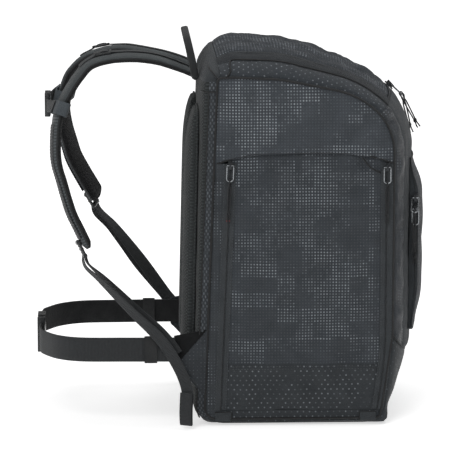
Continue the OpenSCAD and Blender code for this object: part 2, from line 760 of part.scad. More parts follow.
module lower_webbing_right() {
  color(strapping) ribbon(ways(smooth(right_web, 3), -22, -90, by = 0.7), web_w, web_t);
}
tail_out = 6;
tail_left = concat([left_end + [-5, 0, 0]],
  [for (k = [1:4]) left_web[k] + [-5, -tail_out, -3]],
  [[wing_in.x - 38, -wing_in.y - tail_out, belt_z + 26], [wing_in.x - 20, -wing_in.y - tail_out, belt_z + 3],
    [wing_in.x, -wing_in.y - 10, belt_z - 32], [wing_in.x + 10, -wing_in.y - 14, belt_z - 62],
    [wing_in.x + 9, -wing_in.y - 15, belt_z - 90], [wing_in.x + 9, -wing_in.y - 15, 8]]);
tail_right = concat([right_end + [-5, 0, 0]],
  [for (k = [1:4]) right_web[k] + [-6, tail_out, -4]],
  [[wing_in.x - 22, wing_in.y + tail_out + 2, belt_z + 30], [wing_in.x + 2, wing_in.y + tail_out, belt_z],
    [wing_in.x + 24, wing_in.y + 8, belt_z - 34], [wing_in.x + 30, wing_in.y + 8, belt_z - 62],
    [wing_in.x + 30, wing_in.y + 8, 30]]);

module webbing_tail_left() {
  color(strapping) ribbon(ways(smooth(tail_left, 3), 9, 90, by = 0.5), web_w, web_t);
}

module webbing_tail_right() {
  color(strapping) ribbon(ways(smooth(tail_right, 3), -22, -90, by = 0.55), web_w, web_t);
}

// The sternum strap runs between sleeves that slide on the straps.
sleeve_i = 16;
sleeve_l = 22;
sleeve_r = 2.4;
sleeve_room = 1.6;
left_sleeve = left_ways[sleeve_i];
right_sleeve = right_ways[sleeve_i];
module sleeve(f) {
  tilt = atan2(-f[1].x, -f[1].z);
  roll = atan2(-f[3].y, -cos(tilt) * f[3].x + sin(tilt) * f[3].z);
  inner = [strap_t + 2 * sleeve_room, strap_w + 4 * sleeve_room, sleeve_l];
  translate(f[0]) rotate([0, tilt, 0]) rotate([0, 0, roll]) difference() {
    cube(inner + [2 * sleeve_r, 2 * sleeve_r, 0], center = true);
    cube(inner + [0, 0, 1], center = true);
  }
}

module sternum_sleeves() {
  color(strapping) {
    sleeve(left_sleeve);
    sleeve(right_sleeve);
  }
}
sleeve_out = strap_half + sleeve_room + sleeve_r + 0.3;
sternum_at = [min(left_sleeve[0].x, right_sleeve[0].x) - sleeve_out - 10, 0,
  (left_sleeve[0].z + right_sleeve[0].z) / 2 - 4];
function sternum_start(f) = f[0] + f[3] * (sleeve_out + 0.8);
function lean_of(f) = atan2(-f[1].x, -f[1].z);
sternum_l = 24;
module sternum_webbing() {
  l = sternum_start(left_sleeve);
  r = sternum_start(right_sleeve);
  color(strapping) {
    ribbon(ways(smooth([l + [0.5, -14, 0], l, l + [-3, 16, -2],
      sternum_at + [0, -sternum_l - 12, 0], sternum_at + [0, -sternum_l - 0.6, 0]], 3),
      -lean_of(left_sleeve), 0, [0, 0, 1], 0.5, 0.8), sternum_w, web_t);
    ribbon(ways(smooth([r + [0.5, 14, 0], r, r + [-5, -16, -3], sternum_at + [0, 36, 0],
      sternum_at + [0, 20, 0], sternum_at + [0, 3, 0]], 3), lean_of(right_sleeve), 0, [0, 0, 1],
      0.3, 0.6), sternum_w, web_t);
  }
}

// Side-release buckle halves that part along Y; the webbing of the plug runs through it.
module socket(web, long, thick) {
  h = web + 18;
  translate([-thick / 2, -long, -h / 2]) difference() {
    cube([thick, long, h]);
    translate([2, 5, 3]) cube([thick - 4, long, h - 6]);
    for (z = [-1, h - 3]) translate([-1, 8, z]) cube([thick + 2, long * 0.4, 4]);
  }
}
module plug(web, long, thick) {
  h = web + 18;
  arm = long - 8;
  for (z = [web / 2 + 1.5, -web / 2 - 5])
    translate([-thick / 2 + 2.8, -arm, z]) cube([thick - 5.6, arm + 2, 3.5]);
  translate([-thick / 2, 0.6, -h / 2]) difference() {
    cube([thick, long * 0.5, h]);
    translate([thick / 2 - 2, -1, h / 2 - web / 2 - 0.6]) cube([4, long, web + 1.2]);
  }
}

module sternum_socket() {
  color(plastic) translate(sternum_at) socket(sternum_w, sternum_l, 9);
}

module sternum_plug() {
  color(plastic) translate(sternum_at) plug(sternum_w, sternum_l, 9);
}

// Hip belt: wings sewn over the side seams, webbing in a loop, keepers, buckle.
module belt_wings() {
  color(fabric) for (s = [0, 1]) mirror([0, s, 0]) upright(-wing_y - wing_t, -seam_half)
    polygon([[bx + 32, belt_z + 30], [bx + 27, belt_z - 68], [bx + 20, belt_z - 70],
      [wing_x - 2, belt_z - belt_w / 2 - 3], [wing_x - 2, belt_z + belt_w / 2 + 3],
      [bx + 24, belt_z + 31]]);
}
belt_y = seam_half - belt_t / 2 - 0.3;
hip_l = 36;
hip_at = [buckle_x, 0, belt_z];
function belt_route(s, stop) = [[wing_x + 20, s * belt_y, belt_z], [wing_x - 20, s * belt_y, belt_z],
  [wing_x - 80, s * (belt_y - 2), belt_z], [buckle_x + 66, s * (belt_y - 6), belt_z],
  [buckle_x + 30, s * (belt_y - 26), belt_z], [buckle_x + 8, s * (belt_y - 60), belt_z],
  [buckle_x, s * 74, belt_z], [buckle_x, s * stop, belt_z]];

module hip_webbing() {
  color(strapping) {
    ribbon(ways(smooth(belt_route(-1, hip_l + 0.4), 3), 0, 0, [0, 0, 1]), belt_w, belt_t);
    ribbon(ways(smooth(belt_route(1, 4), 3), 0, 0, [0, 0, 1]), belt_w, belt_t);
  }
}

module hip_keepers() {
  color(strapping) for (s = [0, 1]) mirror([0, s, 0])
    translate([wing_x - 38, -belt_y + 0.2, belt_z]) difference() {
      cube([20, belt_t + 4.6, belt_w + 5], center = true);
      cube([21, belt_t + 2, belt_w + 2], center = true);
    }
}

module hip_socket() {
  color(plastic) translate(hip_at) socket(belt_w, hip_l, 12);
}

module hip_plug() {
  color(plastic) translate(hip_at) plug(belt_w, hip_l, 12);
}

// Grab handle: a rolled web loop standing over the roots of the straps.
module grab_handle() {
  y = handle_half;
  r = handle_rise;
  half = [[0, -y, 0], [-4, -y, r * 0.35], [-9, -y + 4, r * 0.72], [-12, -y + 18, r * 0.93],
    [-13, -y + 48, r]];
  foot = root + [1, 0, 0];
  route = concat([for (p = half) foot + p], [foot + [-13, 0, r]],
    [for (k = [len(half) - 1:-1:0]) foot + [half[k].x, -half[k].y, half[k].z]]);
  w = ways(smooth(route, 2), 0, 0, [1, 0, 0.2]);
  n = len(w) - 1;
  f = w[0];
  e = w[n];
  color(strapping) band(concat(
    [for (k = [0.96, 0.8, 0.45]) soft_ring([f[0] - f[1] * root_r * k, f[1], f[2], f[3]],
      root_r * sqrt(1 - k * k), 4.5, 8)],
    [for (q = w) soft_ring(q, root_r, 4.5, 8)],
    [for (k = [0.45, 0.8, 0.96]) soft_ring([e[0] + e[1] * root_r * k, e[1], e[2], e[3]],
      root_r * sqrt(1 - k * k), 4.5, 8)]));
}

back_panel();
frame_sheet();
frame_stays();
base_panel();
base_board();
base_wrap();
front_panel();
top_yoke();
top_strip_left();
top_strip_right();
side_panel_left();
side_panel_right();
boot_liner_left();
boot_liner_right();
back_pad_left();
back_pad_right();
pocket_gusset();
corner_tabs();
belt_wings();
lower_webbing_left();
lower_webbing_right();
webbing_tail_left();
webbing_tail_right();
door_zips();
lid_zip();
pocket_zip();
lid_panel();
boot_door_left();
boot_door_right();
pocket_flap();
lid_slider_left();
lid_slider_right();
lid_pull_left();
lid_pull_right();
left_rear_slider();
left_rear_pull();
left_front_slider();
left_front_pull();
right_rear_slider();
right_rear_pull();
right_front_slider();
right_front_pull();
pocket_upper_slider();
pocket_upper_pull();
pocket_lower_slider();
pocket_lower_pull();
shoulder_strap_left();
shoulder_strap_right();
load_lifter_webbing();
load_lifter_buckles();
ladder_locks();
sternum_sleeves();
sternum_webbing();
sternum_socket();
sternum_plug();
hip_webbing();
hip_keepers();
hip_socket();
hip_plug();
grab_handle();
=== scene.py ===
# A ski boot backpack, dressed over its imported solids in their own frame, in metres.
import bmesh
import bpy
import math
import numpy as np
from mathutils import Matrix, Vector


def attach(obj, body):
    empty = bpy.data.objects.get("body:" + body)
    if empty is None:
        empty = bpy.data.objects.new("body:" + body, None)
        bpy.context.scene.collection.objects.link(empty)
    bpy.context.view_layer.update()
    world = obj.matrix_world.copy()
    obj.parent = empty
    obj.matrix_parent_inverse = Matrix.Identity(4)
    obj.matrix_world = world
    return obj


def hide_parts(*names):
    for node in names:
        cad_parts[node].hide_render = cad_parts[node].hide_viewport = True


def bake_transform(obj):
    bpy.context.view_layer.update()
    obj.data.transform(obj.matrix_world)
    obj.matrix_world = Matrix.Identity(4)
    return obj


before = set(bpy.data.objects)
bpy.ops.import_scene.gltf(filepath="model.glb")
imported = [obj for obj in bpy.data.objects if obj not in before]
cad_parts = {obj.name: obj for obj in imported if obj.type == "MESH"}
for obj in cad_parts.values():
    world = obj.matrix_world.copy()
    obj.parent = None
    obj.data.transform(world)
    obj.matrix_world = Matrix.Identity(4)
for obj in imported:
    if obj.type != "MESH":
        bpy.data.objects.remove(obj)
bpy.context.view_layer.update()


# Camera: a long lens well back from the wearer's left side of the bag.
# It stands a little above the bag's middle and a little towards its back.
def place(name, data):
    made = bpy.data.objects.new(name, data)
    scene.collection.objects.link(made)
    return made


scene = bpy.context.scene
scene.view_settings.view_transform = "Standard"
lens = bpy.data.cameras.new("camera")
lens.sensor_width = 36
lens.lens = 221.7
lens.clip_end = 100
camera = place("camera", lens)
scene.camera = camera
looked_at = Vector((-0.085, 0, 0.283))
swing, rise, stand_off = math.radians(-2.2), math.radians(9.3), 4.53
stand = Vector((math.sin(swing) * math.cos(rise), -math.cos(swing) * math.cos(rise), math.sin(rise)))
camera.location = looked_at + stand_off * stand
camera.rotation_euler = (-stand).to_track_quat("-Z", "Y").to_euler()


# Pull cords: a thin braided polyester cord looped round the foot of each zip pull,
# drawn tight with a knot near its end, with two short free ends below the knot.
# Eight alike: two on the lid, two on each boot door and two on the front pocket.
def linear(code):
    parts = [int(code[k:k + 2], 16) / 255 for k in (1, 3, 5)]
    flat = [c / 12.92 if c <= 0.04045 else ((c + 0.055) / 1.055) ** 2.4 for c in parts]
    return (*flat, 1.0)


def add(tree, kind, inputs=None, **settings):
    node = tree.nodes.new(kind)
    for name, value in settings.items():
        setattr(node, name, value)
    for socket, value in (inputs or {}).items():
        if isinstance(value, bpy.types.NodeSocket):
            tree.links.new(value, node.inputs[socket])
        else:
            node.inputs[socket].default_value = value
    return node


def new_finish(name, flat=False):
    """An empty material, its nodes, and its coordinates: along the cloth if flat, or in space."""
    finish = bpy.data.materials.new(name)
    finish.use_nodes = True
    tree = finish.node_tree
    tree.nodes.clear()
    if flat:
        return finish, tree, add(tree, "ShaderNodeUVMap", uv_map="cloth").outputs["UV"]
    return finish, tree, add(tree, "ShaderNodeTexCoord").outputs["Object"]


def surface(tree, colour, roughness, height=None, depth=0.0003, **sockets):
    inputs = {"Base Color": colour, "Roughness": roughness}
    inputs.update({name.replace("_", " "): value for name, value in sockets.items()})
    if height is not None:
        bump = add(tree, "ShaderNodeBump", {"Distance": depth, "Height": height})
        inputs["Normal"] = bump.outputs["Normal"]
    shader = add(tree, "ShaderNodeBsdfPrincipled", inputs)
    add(tree, "ShaderNodeOutputMaterial", {"Surface": shader.outputs["BSDF"]})


def bands(tree, coords, pitch, way, wobble=0.6):
    wave = add(tree, "ShaderNodeTexWave", {"Vector": coords, "Scale": 0.314 / pitch,
                                           "Distortion": wobble, "Detail": 1.0, "Detail Scale": 2.0},
               bands_direction=way)
    return wave.outputs["Fac"]


def ramp(tree, value, start=0.0, stop=1.0, low=0.0, high=1.0, **settings):
    spread = add(tree, "ShaderNodeMapRange", {"Value": value, "From Min": start, "From Max": stop,
                                              "To Min": low, "To Max": high}, **settings)
    return spread.outputs["Result"]


def speckle(tree, coords, size, low=0.0, high=1.0, detail=2.0):
    noise = add(tree, "ShaderNodeTexNoise", {"Vector": coords, "Scale": 1 / size, "Detail": detail})
    return ramp(tree, noise.outputs["Fac"], 0.3, 0.7, low, high)


def blended(tree, share, *colours):
    first, second = [linear(c) if isinstance(c, str) else c for c in colours]
    return add(tree, "ShaderNodeMix", {0: share, 6: first, 7: second}, data_type="RGBA").outputs[2]


def sums(tree, first, second, operation="ADD"):
    return add(tree, "ShaderNodeMath", {0: first, 1: second}, operation=operation).outputs[0]


def crossed(tree, coords, pitch, way, turn, operation, wobble=0.6):
    lines = []
    for side in (1, -1):
        tilt = tuple(side * angle for angle in turn)
        tilted = add(tree, "ShaderNodeMapping", {"Vector": coords, "Rotation": tilt}).outputs["Vector"]
        lines.append(bands(tree, tilted, pitch, way, wobble))
    return sums(tree, *lines, operation)


def unit(v):
    return v / np.maximum(np.linalg.norm(v, axis=-1, keepdims=True), 1e-12)


def run_of(points):
    return np.append(0, np.cumsum(np.linalg.norm(np.diff(points, axis=0), axis=1)))


def through(points, steps):
    p = np.array(points, float)
    q = np.vstack([p[:1], p, p[-1:]])
    line = []
    for k in range(len(p) - 1):
        a, b, c, d = q[k:k + 4]
        for t in np.arange(steps) / steps:
            line.append(0.5 * (2 * b + (c - a) * t + (2 * a - 5 * b + 4 * c - d) * t * t
                               + (3 * b - a - 3 * c + d) * t ** 3))
    return np.array(line + [p[-1]])


def loft(rings, closed=False, slots=0):
    """A skin through rings of points, capped unless closed, with its lengths as texture places."""
    r = np.asarray(rings, float)
    n, m = r.shape[:2]
    rows = n if closed else n - 1
    i, j = np.meshgrid(np.arange(rows), np.arange(m), indexing="ij")
    ii, jj = (i + 1) % n, (j + 1) % m
    quads = np.stack([i * m + j, ii * m + j, ii * m + jj, i * m + jj], -1).reshape(-1, 4)
    round_it = run_of(np.vstack([r[n // 2], r[n // 2, :1]]))
    hops = np.linalg.norm(np.roll(r, -1, 0) - r, axis=2).mean(1)
    down_it = np.append(0, np.cumsum(hops))
    uv = np.stack([np.stack([round_it[j + dj], down_it[i + di]], -1)
                   for dj, di in ((0, 0), (0, 1), (1, 1), (1, 0))], 2).reshape(-1, 4, 2)
    slot = np.broadcast_to(np.asarray(slots), (rows, m)).flatten()
    caps = [] if closed else [list(range(m))[::-1], list(range((n - 1) * m, n * m))]
    return r.reshape(-1, 3), quads, uv, slot, caps


def tube(path, radius, sides=8, closed=False, slot=0):
    p = np.asarray(path, float)
    t = unit(np.roll(p, -1, 0) - np.roll(p, 1, 0)) if closed else unit(np.gradient(p, axis=0))
    across = np.empty_like(t)
    across[0] = unit(np.cross(t[0], (0.31, 0.52, 0.79)))
    for k in range(1, len(p)):
        across[k] = unit(across[k - 1] - t[k] * (across[k - 1] @ t[k]))
    other = np.cross(t, across)
    a = np.linspace(0, 2 * np.pi, sides, endpoint=False)[None, :, None]
    r = np.broadcast_to(np.asarray(radius, float), (len(p),))[:, None, None]
    return loft(p[:, None] + r * (across[:, None] * np.cos(a) + other[:, None] * np.sin(a)), closed, slot)


def piece(name, parts, finishes):
    points, faces, corners, slots = [], [], [], []
    for p, quads, uv, slot, caps in parts:
        tris = np.concatenate([quads[:, [0, 1, 2]], quads[:, [0, 2, 3]]])
        for cap in caps:
            tris = np.concatenate([tris, [(cap[0], cap[k], cap[k + 1]) for k in range(1, len(cap) - 1)]])
        a, b, c = [(p - p.mean(0))[tris[:, k]] for k in range(3)]
        if (a * np.cross(b, c)).sum() < 0:
            quads, uv, caps = quads[:, ::-1], uv[:, ::-1], [cap[::-1] for cap in caps]
        start = sum(len(q) for q in points)
        points.append(p)
        faces += (quads + start).tolist() + [[k + start for k in cap] for cap in caps]
        corners += [uv.reshape(-1, 2)] + [np.zeros((len(cap), 2)) for cap in caps]
        slots += slot.tolist() + [int(slot[0])] * len(caps)
    mesh = bpy.data.meshes.new(name)
    mesh.from_pydata(np.concatenate(points).tolist(), [], faces)
    mesh.uv_layers.new(name="cloth").data.foreach_set("uv", np.concatenate(corners).ravel())
    mesh.polygons.foreach_set("material_index", slots)
    mesh.polygons.foreach_set("use_smooth", [True] * len(faces))
    mesh.set_sharp_from_angle(angle=0.9)
    for finish in finishes:
        mesh.materials.append(finish)
    return place(name, mesh)


def fit(made, body, slot, *nodes):
    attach(made, body)
    if nodes:
        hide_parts(*nodes)
    return made


def sewn(name, parts, finishes, body, slot, *nodes):
    return fit(piece(name, parts, finishes), body, slot, *nodes)


braid, tree, uv = new_finish("braided_polyester_cord", True)
plait = crossed(tree, uv, 0.0011, "X", (0, 0, 0.7), "MAXIMUM")
surface(tree, blended(tree, plait, "#0b0c0e", "#1f2225"), 0.78, plait, 0.0003, Sheen_Weight=0.15)
sealed_tip, tree, here = new_finish("dyed_cord_tip")
surface(tree, blended(tree, speckle(tree, here, 0.0008), "#4a2023", "#6e3034"), 0.6)
tip_faces = 16

MM = 0.001
lid_slope = math.radians(43.2)
lid_out = (math.cos(lid_slope), 0, math.sin(lid_slope))
lid_up = (-math.sin(lid_slope), 0, math.cos(lid_slope))
rear_tilt = math.radians(2.29)
rear_up = (math.sin(rear_tilt), 0, math.cos(rear_tilt))
pocket_out = (-0.22, -0.9755, 0)
# Each slider's place, the way out from its zip, the way up along it, and how far its
# bail and its cord are lifted from the zip, in degrees.
slider_places = {
    "lid_left": ((165.766, -13, 513.637), lid_out, lid_up, 4, -29),
    "lid_right": ((165.766, 13, 513.637), lid_out, lid_up, 4, -15),
    "left_rear": ((-90.704, -162, 410.402), (0, -1, 0), rear_up, 0, 0),
    "left_front": ((151, -162, 406.396), (0, -1, 0), (0, 0, 1), 0, 0),
    "right_rear": ((-90.704, 162, 410.402), (0, 1, 0), rear_up, 0, 0),
    "right_front": ((151, 162, 406.396), (0, 1, 0), (0, 0, 1), 0, 0),
    "pocket_upper": ((200.741, -112.31, 351.163), pocket_out, (0, 0, 1), 32, 0),
    "pocket_lower": ((200.741, -112.31, 333.493), pocket_out, (0, 0, 1), 0, 0),
}
pin_out, bail_long, cord_r = 0.0054, 0.025, 0.00115
loop_top, knot_at, cord_end = -2.45, 49.5, 62
bails = []
for spot, (at, out, up, lift, hang) in slider_places.items():
    out, up = np.array(out, float), np.array(up, float)
    across = np.cross(out, up)
    lift, hang = math.radians(lift), math.radians(hang)
    pin = np.array(at) * MM + out * pin_out
    bail_way = out * math.sin(lift) - up * math.cos(lift)
    foot = pin + bail_way * bail_long
    down = out * math.sin(hang) - up * math.cos(hang)
    front = out * math.cos(hang) + up * math.sin(hang)
    half = spot.split("_")
    pull = f"lid_pull_{half[1]}" if half[0] == "lid" else f"{spot}_pull"
    bails.append((pull, pin, across, bail_way))
    beside, ahead = (front, across) if half[0] == "lid" else (across, front)
    strands = []
    for side in (1, -1):
        # How far each point lies across, out and down from the bail's foot, in millimetres.
        local = [(0, 0, loop_top), (0.1, 1.75, -1.75), (0.2, 2.45, 0), (0.9, 2.1, 4), (1.7, 1.1, 9),
                 (2.0, 0.3, 15), (1.9, 0, 24), (1.6, 0, 36), (1.2, 0, 46), (1.2, 0, 53),
                 (1.9, 0.4, 57), (2.2 + 0.4 * side, 0.6, cord_end)]
        points = [foot + MM * (side * y * front + side * x * across + z * down) for x, y, z in local[:5]]
        points += [foot + MM * (side * y * ahead + side * x * beside + z * down) for x, y, z in local[5:]]
        strands.append(tube(through(points, 4), cord_r))
        if spot == "left_rear":
            strands[-1][3][-tip_faces:] = 1
    line = [foot + down * MM * z for z in np.linspace(loop_top, cord_end, 18)]
    cord = piece(f"{pull}_cord", strands, [braid, sealed_tip])
    turn = np.linspace(0, 2 * np.pi, 48, endpoint=False)
    ring = 1.55 + 0.75 * np.cos(3 * turn)
    coil = (foot + down * MM * knot_at + MM * (np.outer(ring * np.cos(2 * turn), across)
            + np.outer(ring * np.sin(2 * turn), front) + np.outer(2.1 * np.sin(3 * turn), down)))
    knot = piece(f"{pull}_knot", [tube(coil, cord_r, 8, True)], [braid])
    fit(knot, pull, "webbing")
    fit(cord, pull, "webbing", pull)


# Back panel: padded polyester over the frame sheet, sewn to the side panels all round.
# Its side edges show as a narrow printed strip between the back pads and the side seam.
def outline(corners, radii, arc_steps):
    places, points, start = [], [], 0
    for c in range(len(corners)):
        q = np.array(corners[c], float)
        a = unit(np.array(corners[c - 1], float) - q)
        b = unit(np.array(corners[(c + 1) % len(corners)], float) - q)
        half = math.acos(a @ b) / 2
        centre = q + unit(a + b) * radii[c] / math.sin(half)
        s = q + a * radii[c] / math.tan(half) - centre
        e = q + b * radii[c] / math.tan(half) - centre
        turn = math.atan2(s[0] * e[1] - s[1] * e[0], s @ e)
        for k in np.linspace(0, 1, arc_steps[c] * 12 + 1):
            w = turn * k
            points.append(centre + np.array((s[0] * math.cos(w) - s[1] * math.sin(w),
                                             s[0] * math.sin(w) + s[1] * math.cos(w))))
            places.append(start + k * arc_steps[c])
        start += arc_steps[c] + 1
    return np.array(places + [start]), np.array(points + [points[0]]) * MM


# Both outlines are cut into the same numbered places, from the foot of the back over the top
# and down the front. The panels meet at the foot, the neck, the crown, the brow and the toe.
# Each is given by its corners, in depth and height, and their radii, in millimetres.
slope = math.tan(math.radians(36))
arc_steps = [4, 2, 3, 3, 4, 4, 10, 4, 2, 4]
wall_line = outline(
    [(-149, 3), (-137, 541), (-119, 582), (-90, 597), (-10, 597), (110, 557), (201, 557 - 91 * slope),
     (201, 112), (160, 28), (155, 3)], [30, 12, 14, 60, 250, 220, 130, 60, 30, 8], arc_steps)
seam_line = outline(
    [(-131, 12), (-110, 540), (-106, 544.5), (-85, 545), (-15, 542), (98, 519.5),
     (161.5, 519.5 - 63.5 * slope), (161.5, 145), (146, 32), (142, 12)],
    [18, 4, 6, 30, 250, 130, 90, 40, 20, 8], arc_steps)
squareness = sum([[n] * (k + 1) for n, k in zip([8, 6, 2, 2, 2, 2, 2, 2, 4, 10], arc_steps)], [])
squareness.append(squareness[0])
whole_way = 50
foot_i, neck_i, crown_i, brow_i, toe_i = 2, 5, 10.98, 28.2, 41
seam_y = 0.162
core = (0.02, 0, 0.28)


def on_line(line, i):
    i = np.mod(i, whole_way)
    return np.stack([np.interp(i, line[0], line[1][:, k]) for k in (0, 1)], -1)


def square_at(i):
    return np.interp(np.mod(i, whole_way), np.arange(whole_way + 1), squareness)


def bag(i, a):
    """The bag's wall at place i, a degrees round from its middle towards the seam at 90."""
    i, a = np.broadcast_arrays(np.asarray(i, float), np.radians(np.asarray(a, float)))
    o, s = on_line(wall_line, i), on_line(seam_line, i)
    n = square_at(i)
    g = 1 - np.abs(np.cos(a)) ** (2 / n)
    p = o + (s - o) * g[..., None]
    return np.stack([p[..., 0], seam_y * np.sign(a) * np.abs(np.sin(a)) ** (2 / n), p[..., 1]], -1)


def cloth_grid(i0, i1, a0, a1, pitch):
    """An even grid of points on the bag's wall between two places and two angles."""
    fine = np.linspace(i0, i1, 3000)
    way = run_of(on_line(wall_line, fine))
    rows = np.interp(np.linspace(0, way[-1], max(4, int(way[-1] / pitch))), way, fine)
    grid = []
    columns = None
    for i in rows:
        n = square_at(i)
        ends = [np.sign(a) * (abs(a) / 90) ** (2 / n) for a in (a0, a1)]
        share = np.linspace(*ends, 900)
        ring = bag(i, 90 * np.sign(share) * np.abs(share) ** (n / 2))
        run = run_of(ring)
        columns = columns or max(4, int(run[-1] / pitch))
        grid.append([np.interp(np.linspace(0, run[-1], columns), run, ring[:, k]) for k in range(3)])
    return np.array(grid).transpose(0, 2, 1)


def outward(grid, centre=core):
    n = unit(np.cross(np.gradient(grid, axis=0), np.gradient(grid, axis=1)))
    return n * np.sign(((grid - np.array(centre)) * n).sum())


def lengths(grid):
    down = np.append(0, np.cumsum(np.linalg.norm(np.diff(grid, axis=0), axis=2).mean(1)))
    over = np.append(0, np.cumsum(np.linalg.norm(np.diff(grid, axis=1), axis=2).mean(0)))
    return np.meshgrid(down, over, indexing="ij")


def from_edges(grid, edges="tblr"):
    down, over = lengths(grid)
    near = np.full(down.shape, 1.0)
    for edge, far in (("t", down), ("b", down.max() - down), ("l", over), ("r", over.max() - over)):
        if edge in edges:
            near = np.minimum(near, far)
    return near


def bell(x, width):
    return np.exp(-(x / width) ** 2)


def rucks(u, v, size, seed, stretch=1.0):
    """Soft folds about as far apart as size, from waves in seeded directions."""
    pick = np.random.default_rng(seed)
    total = np.zeros_like(u)
    for _ in range(16):
        way, wave = pick.uniform(0, np.pi), pick.uniform(0.5, 1.6) / size
        total += np.cos(2 * np.pi * wave * (u * math.cos(way) + v * stretch * math.sin(way))
                        + pick.uniform(0, 2 * np.pi))
    return total / 4


def padded_sheet(outer, thick=0.004, uv=None, slot=0, lining=1, centre=core):
    """A closed sheet with its outer face on the grid and its lining on the side of the centre."""
    n, m = outer.shape[:2]
    inner = outer - outward(outer, centre) * thick
    if uv is None:
        uv = np.stack(lengths(outer)[::-1], -1)
    count = n * m
    i, j = np.meshgrid(np.arange(n - 1), np.arange(m - 1), indexing="ij")
    face = np.stack([i * m + j, i * m + j + 1, (i + 1) * m + j + 1, (i + 1) * m + j], -1).reshape(-1, 4)
    rim = np.concatenate([np.arange(m - 1), np.arange(n - 1) * m + m - 1,
                          np.arange(m - 1, 0, -1) + (n - 1) * m, np.arange(n - 1, 0, -1) * m])
    after = np.roll(rim, -1)
    edge = np.stack([after, rim, rim + count, after + count], -1)
    quads = np.concatenate([face, face[:, ::-1] + count, edge])
    flat = np.concatenate([uv.reshape(-1, 2), uv.reshape(-1, 2)])
    slots = np.concatenate([np.full(len(face), slot), np.full(len(face), lining), np.full(len(edge), slot)])
    return np.concatenate([outer.reshape(-1, 3), inner.reshape(-1, 3)]), quads, flat[quads], slots, []


def rolled(grid, roll=0.0016, reach=0.005, edges="tblr", ruck=0.0, size=0.08, seed=1, swell=0.0, calm=0.02):
    """The grid with its sewn edges rolled in, rucked and swollen away from them."""
    near = from_edges(grid, edges)
    down, over = lengths(grid)
    puff = 0.03
    lift = -roll * bell(near, reach) + swell * (1 - bell(near, puff))
    lift = lift + ruck * rucks(down, over, size, seed) * (1 - bell(near, calm))
    return grid + outward(grid) * lift[..., None]


def vectors(tree, operation, *values):
    node = add(tree, "ShaderNodeVectorMath", dict(enumerate(values)), operation=operation)
    return node.outputs["Value" if operation == "LENGTH" else "Vector"]


def chance(tree, cells):
    return add(tree, "ShaderNodeTexWhiteNoise", {"Vector": cells}, noise_dimensions="2D").outputs["Value"]


def cloth(name, ground, pale, dots=(), dot=None, radius=0.001, patches=(), seed=0.0, wear=0.55, dash=1.0,
          rough=0.72, sheen=0.1, weave=0.0011, depth=0.00022, shine=0.5):
    """Woven polyester, with a printed grid of dots where dots gives its pitches and offsets.
    The patches are the sizes, in dots, of the blocks in which the print is lighter or darker."""
    finish, tree, uv = new_finish(name, True)
    tone = sums(tree, speckle(tree, uv, 0.0016, 0.0, 0.75, 3.0), speckle(tree, uv, 0.035, 0.0, 0.35))
    colour = blended(tree, tone, ground, pale)
    for pitch_u, pitch_v, shift in dots:
        cells = vectors(tree, "MULTIPLY_ADD", uv, (1 / pitch_u, 1 / pitch_v, 0), (shift, shift, 0))
        spot = vectors(tree, "MULTIPLY_ADD", vectors(tree, "FRACTION", cells), (pitch_u, pitch_v, 0),
                       (-pitch_u / 2, -pitch_v / 2, 0))
        far = vectors(tree, "LENGTH", vectors(tree, "MULTIPLY", spot, (1, dash, 0)))
        inked = ramp(tree, far, radius * 0.7, radius * 1.25, 0.9, 0.0, interpolation_type="SMOOTHSTEP")
        whole = vectors(tree, "FLOOR", cells)
        grain = chance(tree, whole)
        inked = sums(tree, inked, ramp(tree, grain, low=wear), "MULTIPLY")
        if patches:
            drawn = 0.0
            for wide, high in patches:
                block = vectors(tree, "MULTIPLY_ADD", whole, (1 / wide, 1 / high, 0), (seed, seed * 1.7, 0))
                drawn = sums(tree, chance(tree, vectors(tree, "FLOOR", block)), drawn)
            drawn = sums(tree, drawn, speckle(tree, uv, 0.05, -0.4, 0.4))
            drawn = sums(tree, drawn, sums(tree, grain, 0.3, "MULTIPLY"))
            shown = ramp(tree, drawn, 0.5 * len(patches), 0.92 * len(patches), 0.1)
            inked = sums(tree, inked, shown, "MULTIPLY")
        colour = blended(tree, inked, colour, dot)
    threads = sums(tree, bands(tree, uv, weave, "X"), bands(tree, uv, weave, "Y"))
    height = sums(tree, threads, speckle(tree, uv, 0.004, 0.0, 1.2))
    gloss = speckle(tree, uv, 0.02, rough - 0.06, rough + 0.08)
    surface(tree, colour, gloss, height, depth, Sheen_Weight=sheen, Specular_IOR_Level=shine,
            Sheen_Roughness=0.45)
    return finish


def staggered(pitch_u, pitch_v):
    return [(pitch_u, pitch_v, 0.0), (pitch_u, pitch_v, 0.5)]


square_dots = [(0.0047, 0.0047, 0.0)]
strip_cloth = cloth("dashed_strip_polyester", "#272b2f", "#3d4247", staggered(0.0058, 0.0098), "#747a80",
                    0.0011, wear=0.2, dash=0.5)
plain_cloth = cloth("plain_polyester", "#262a2d", "#3d4246")
lining_cloth = cloth("nylon_lining", "#1d1f21", "#2a2d30", rough=0.6)
air_mesh, tree, here = new_finish("knitted_air_mesh")
ribs = crossed(tree, here, 0.0042, "Z", (0.6, 0, 0), "MULTIPLY", 0.2)
knit = sums(tree, ribs, speckle(tree, here, 0.0016, 0.0, 0.5))
surface(tree, blended(tree, knit, "#0d0f10", "#3b4142"), 0.85, knit, 0.0012, Sheen_Weight=0.1)
back_grid = rolled(cloth_grid(foot_i, neck_i, -90, 90, 0.004), ruck=0.0004, size=0.09, seed=3)
strip_wide = 0.0125
back_seam = on_line(seam_line, np.linspace(0, 8, 900))
back_seam = back_seam[np.argsort(back_seam[:, 1])]
middles = (back_grid[:-1, :-1] + back_grid[1:, 1:]) / 2
off_seam = np.interp(middles[..., 2], back_seam[:, 1], back_seam[:, 0]) - middles[..., 0]
back_sheet = padded_sheet(back_grid)
back_sheet[3][:off_seam.size] = np.where(off_seam.ravel() > strip_wide, 2, 0)
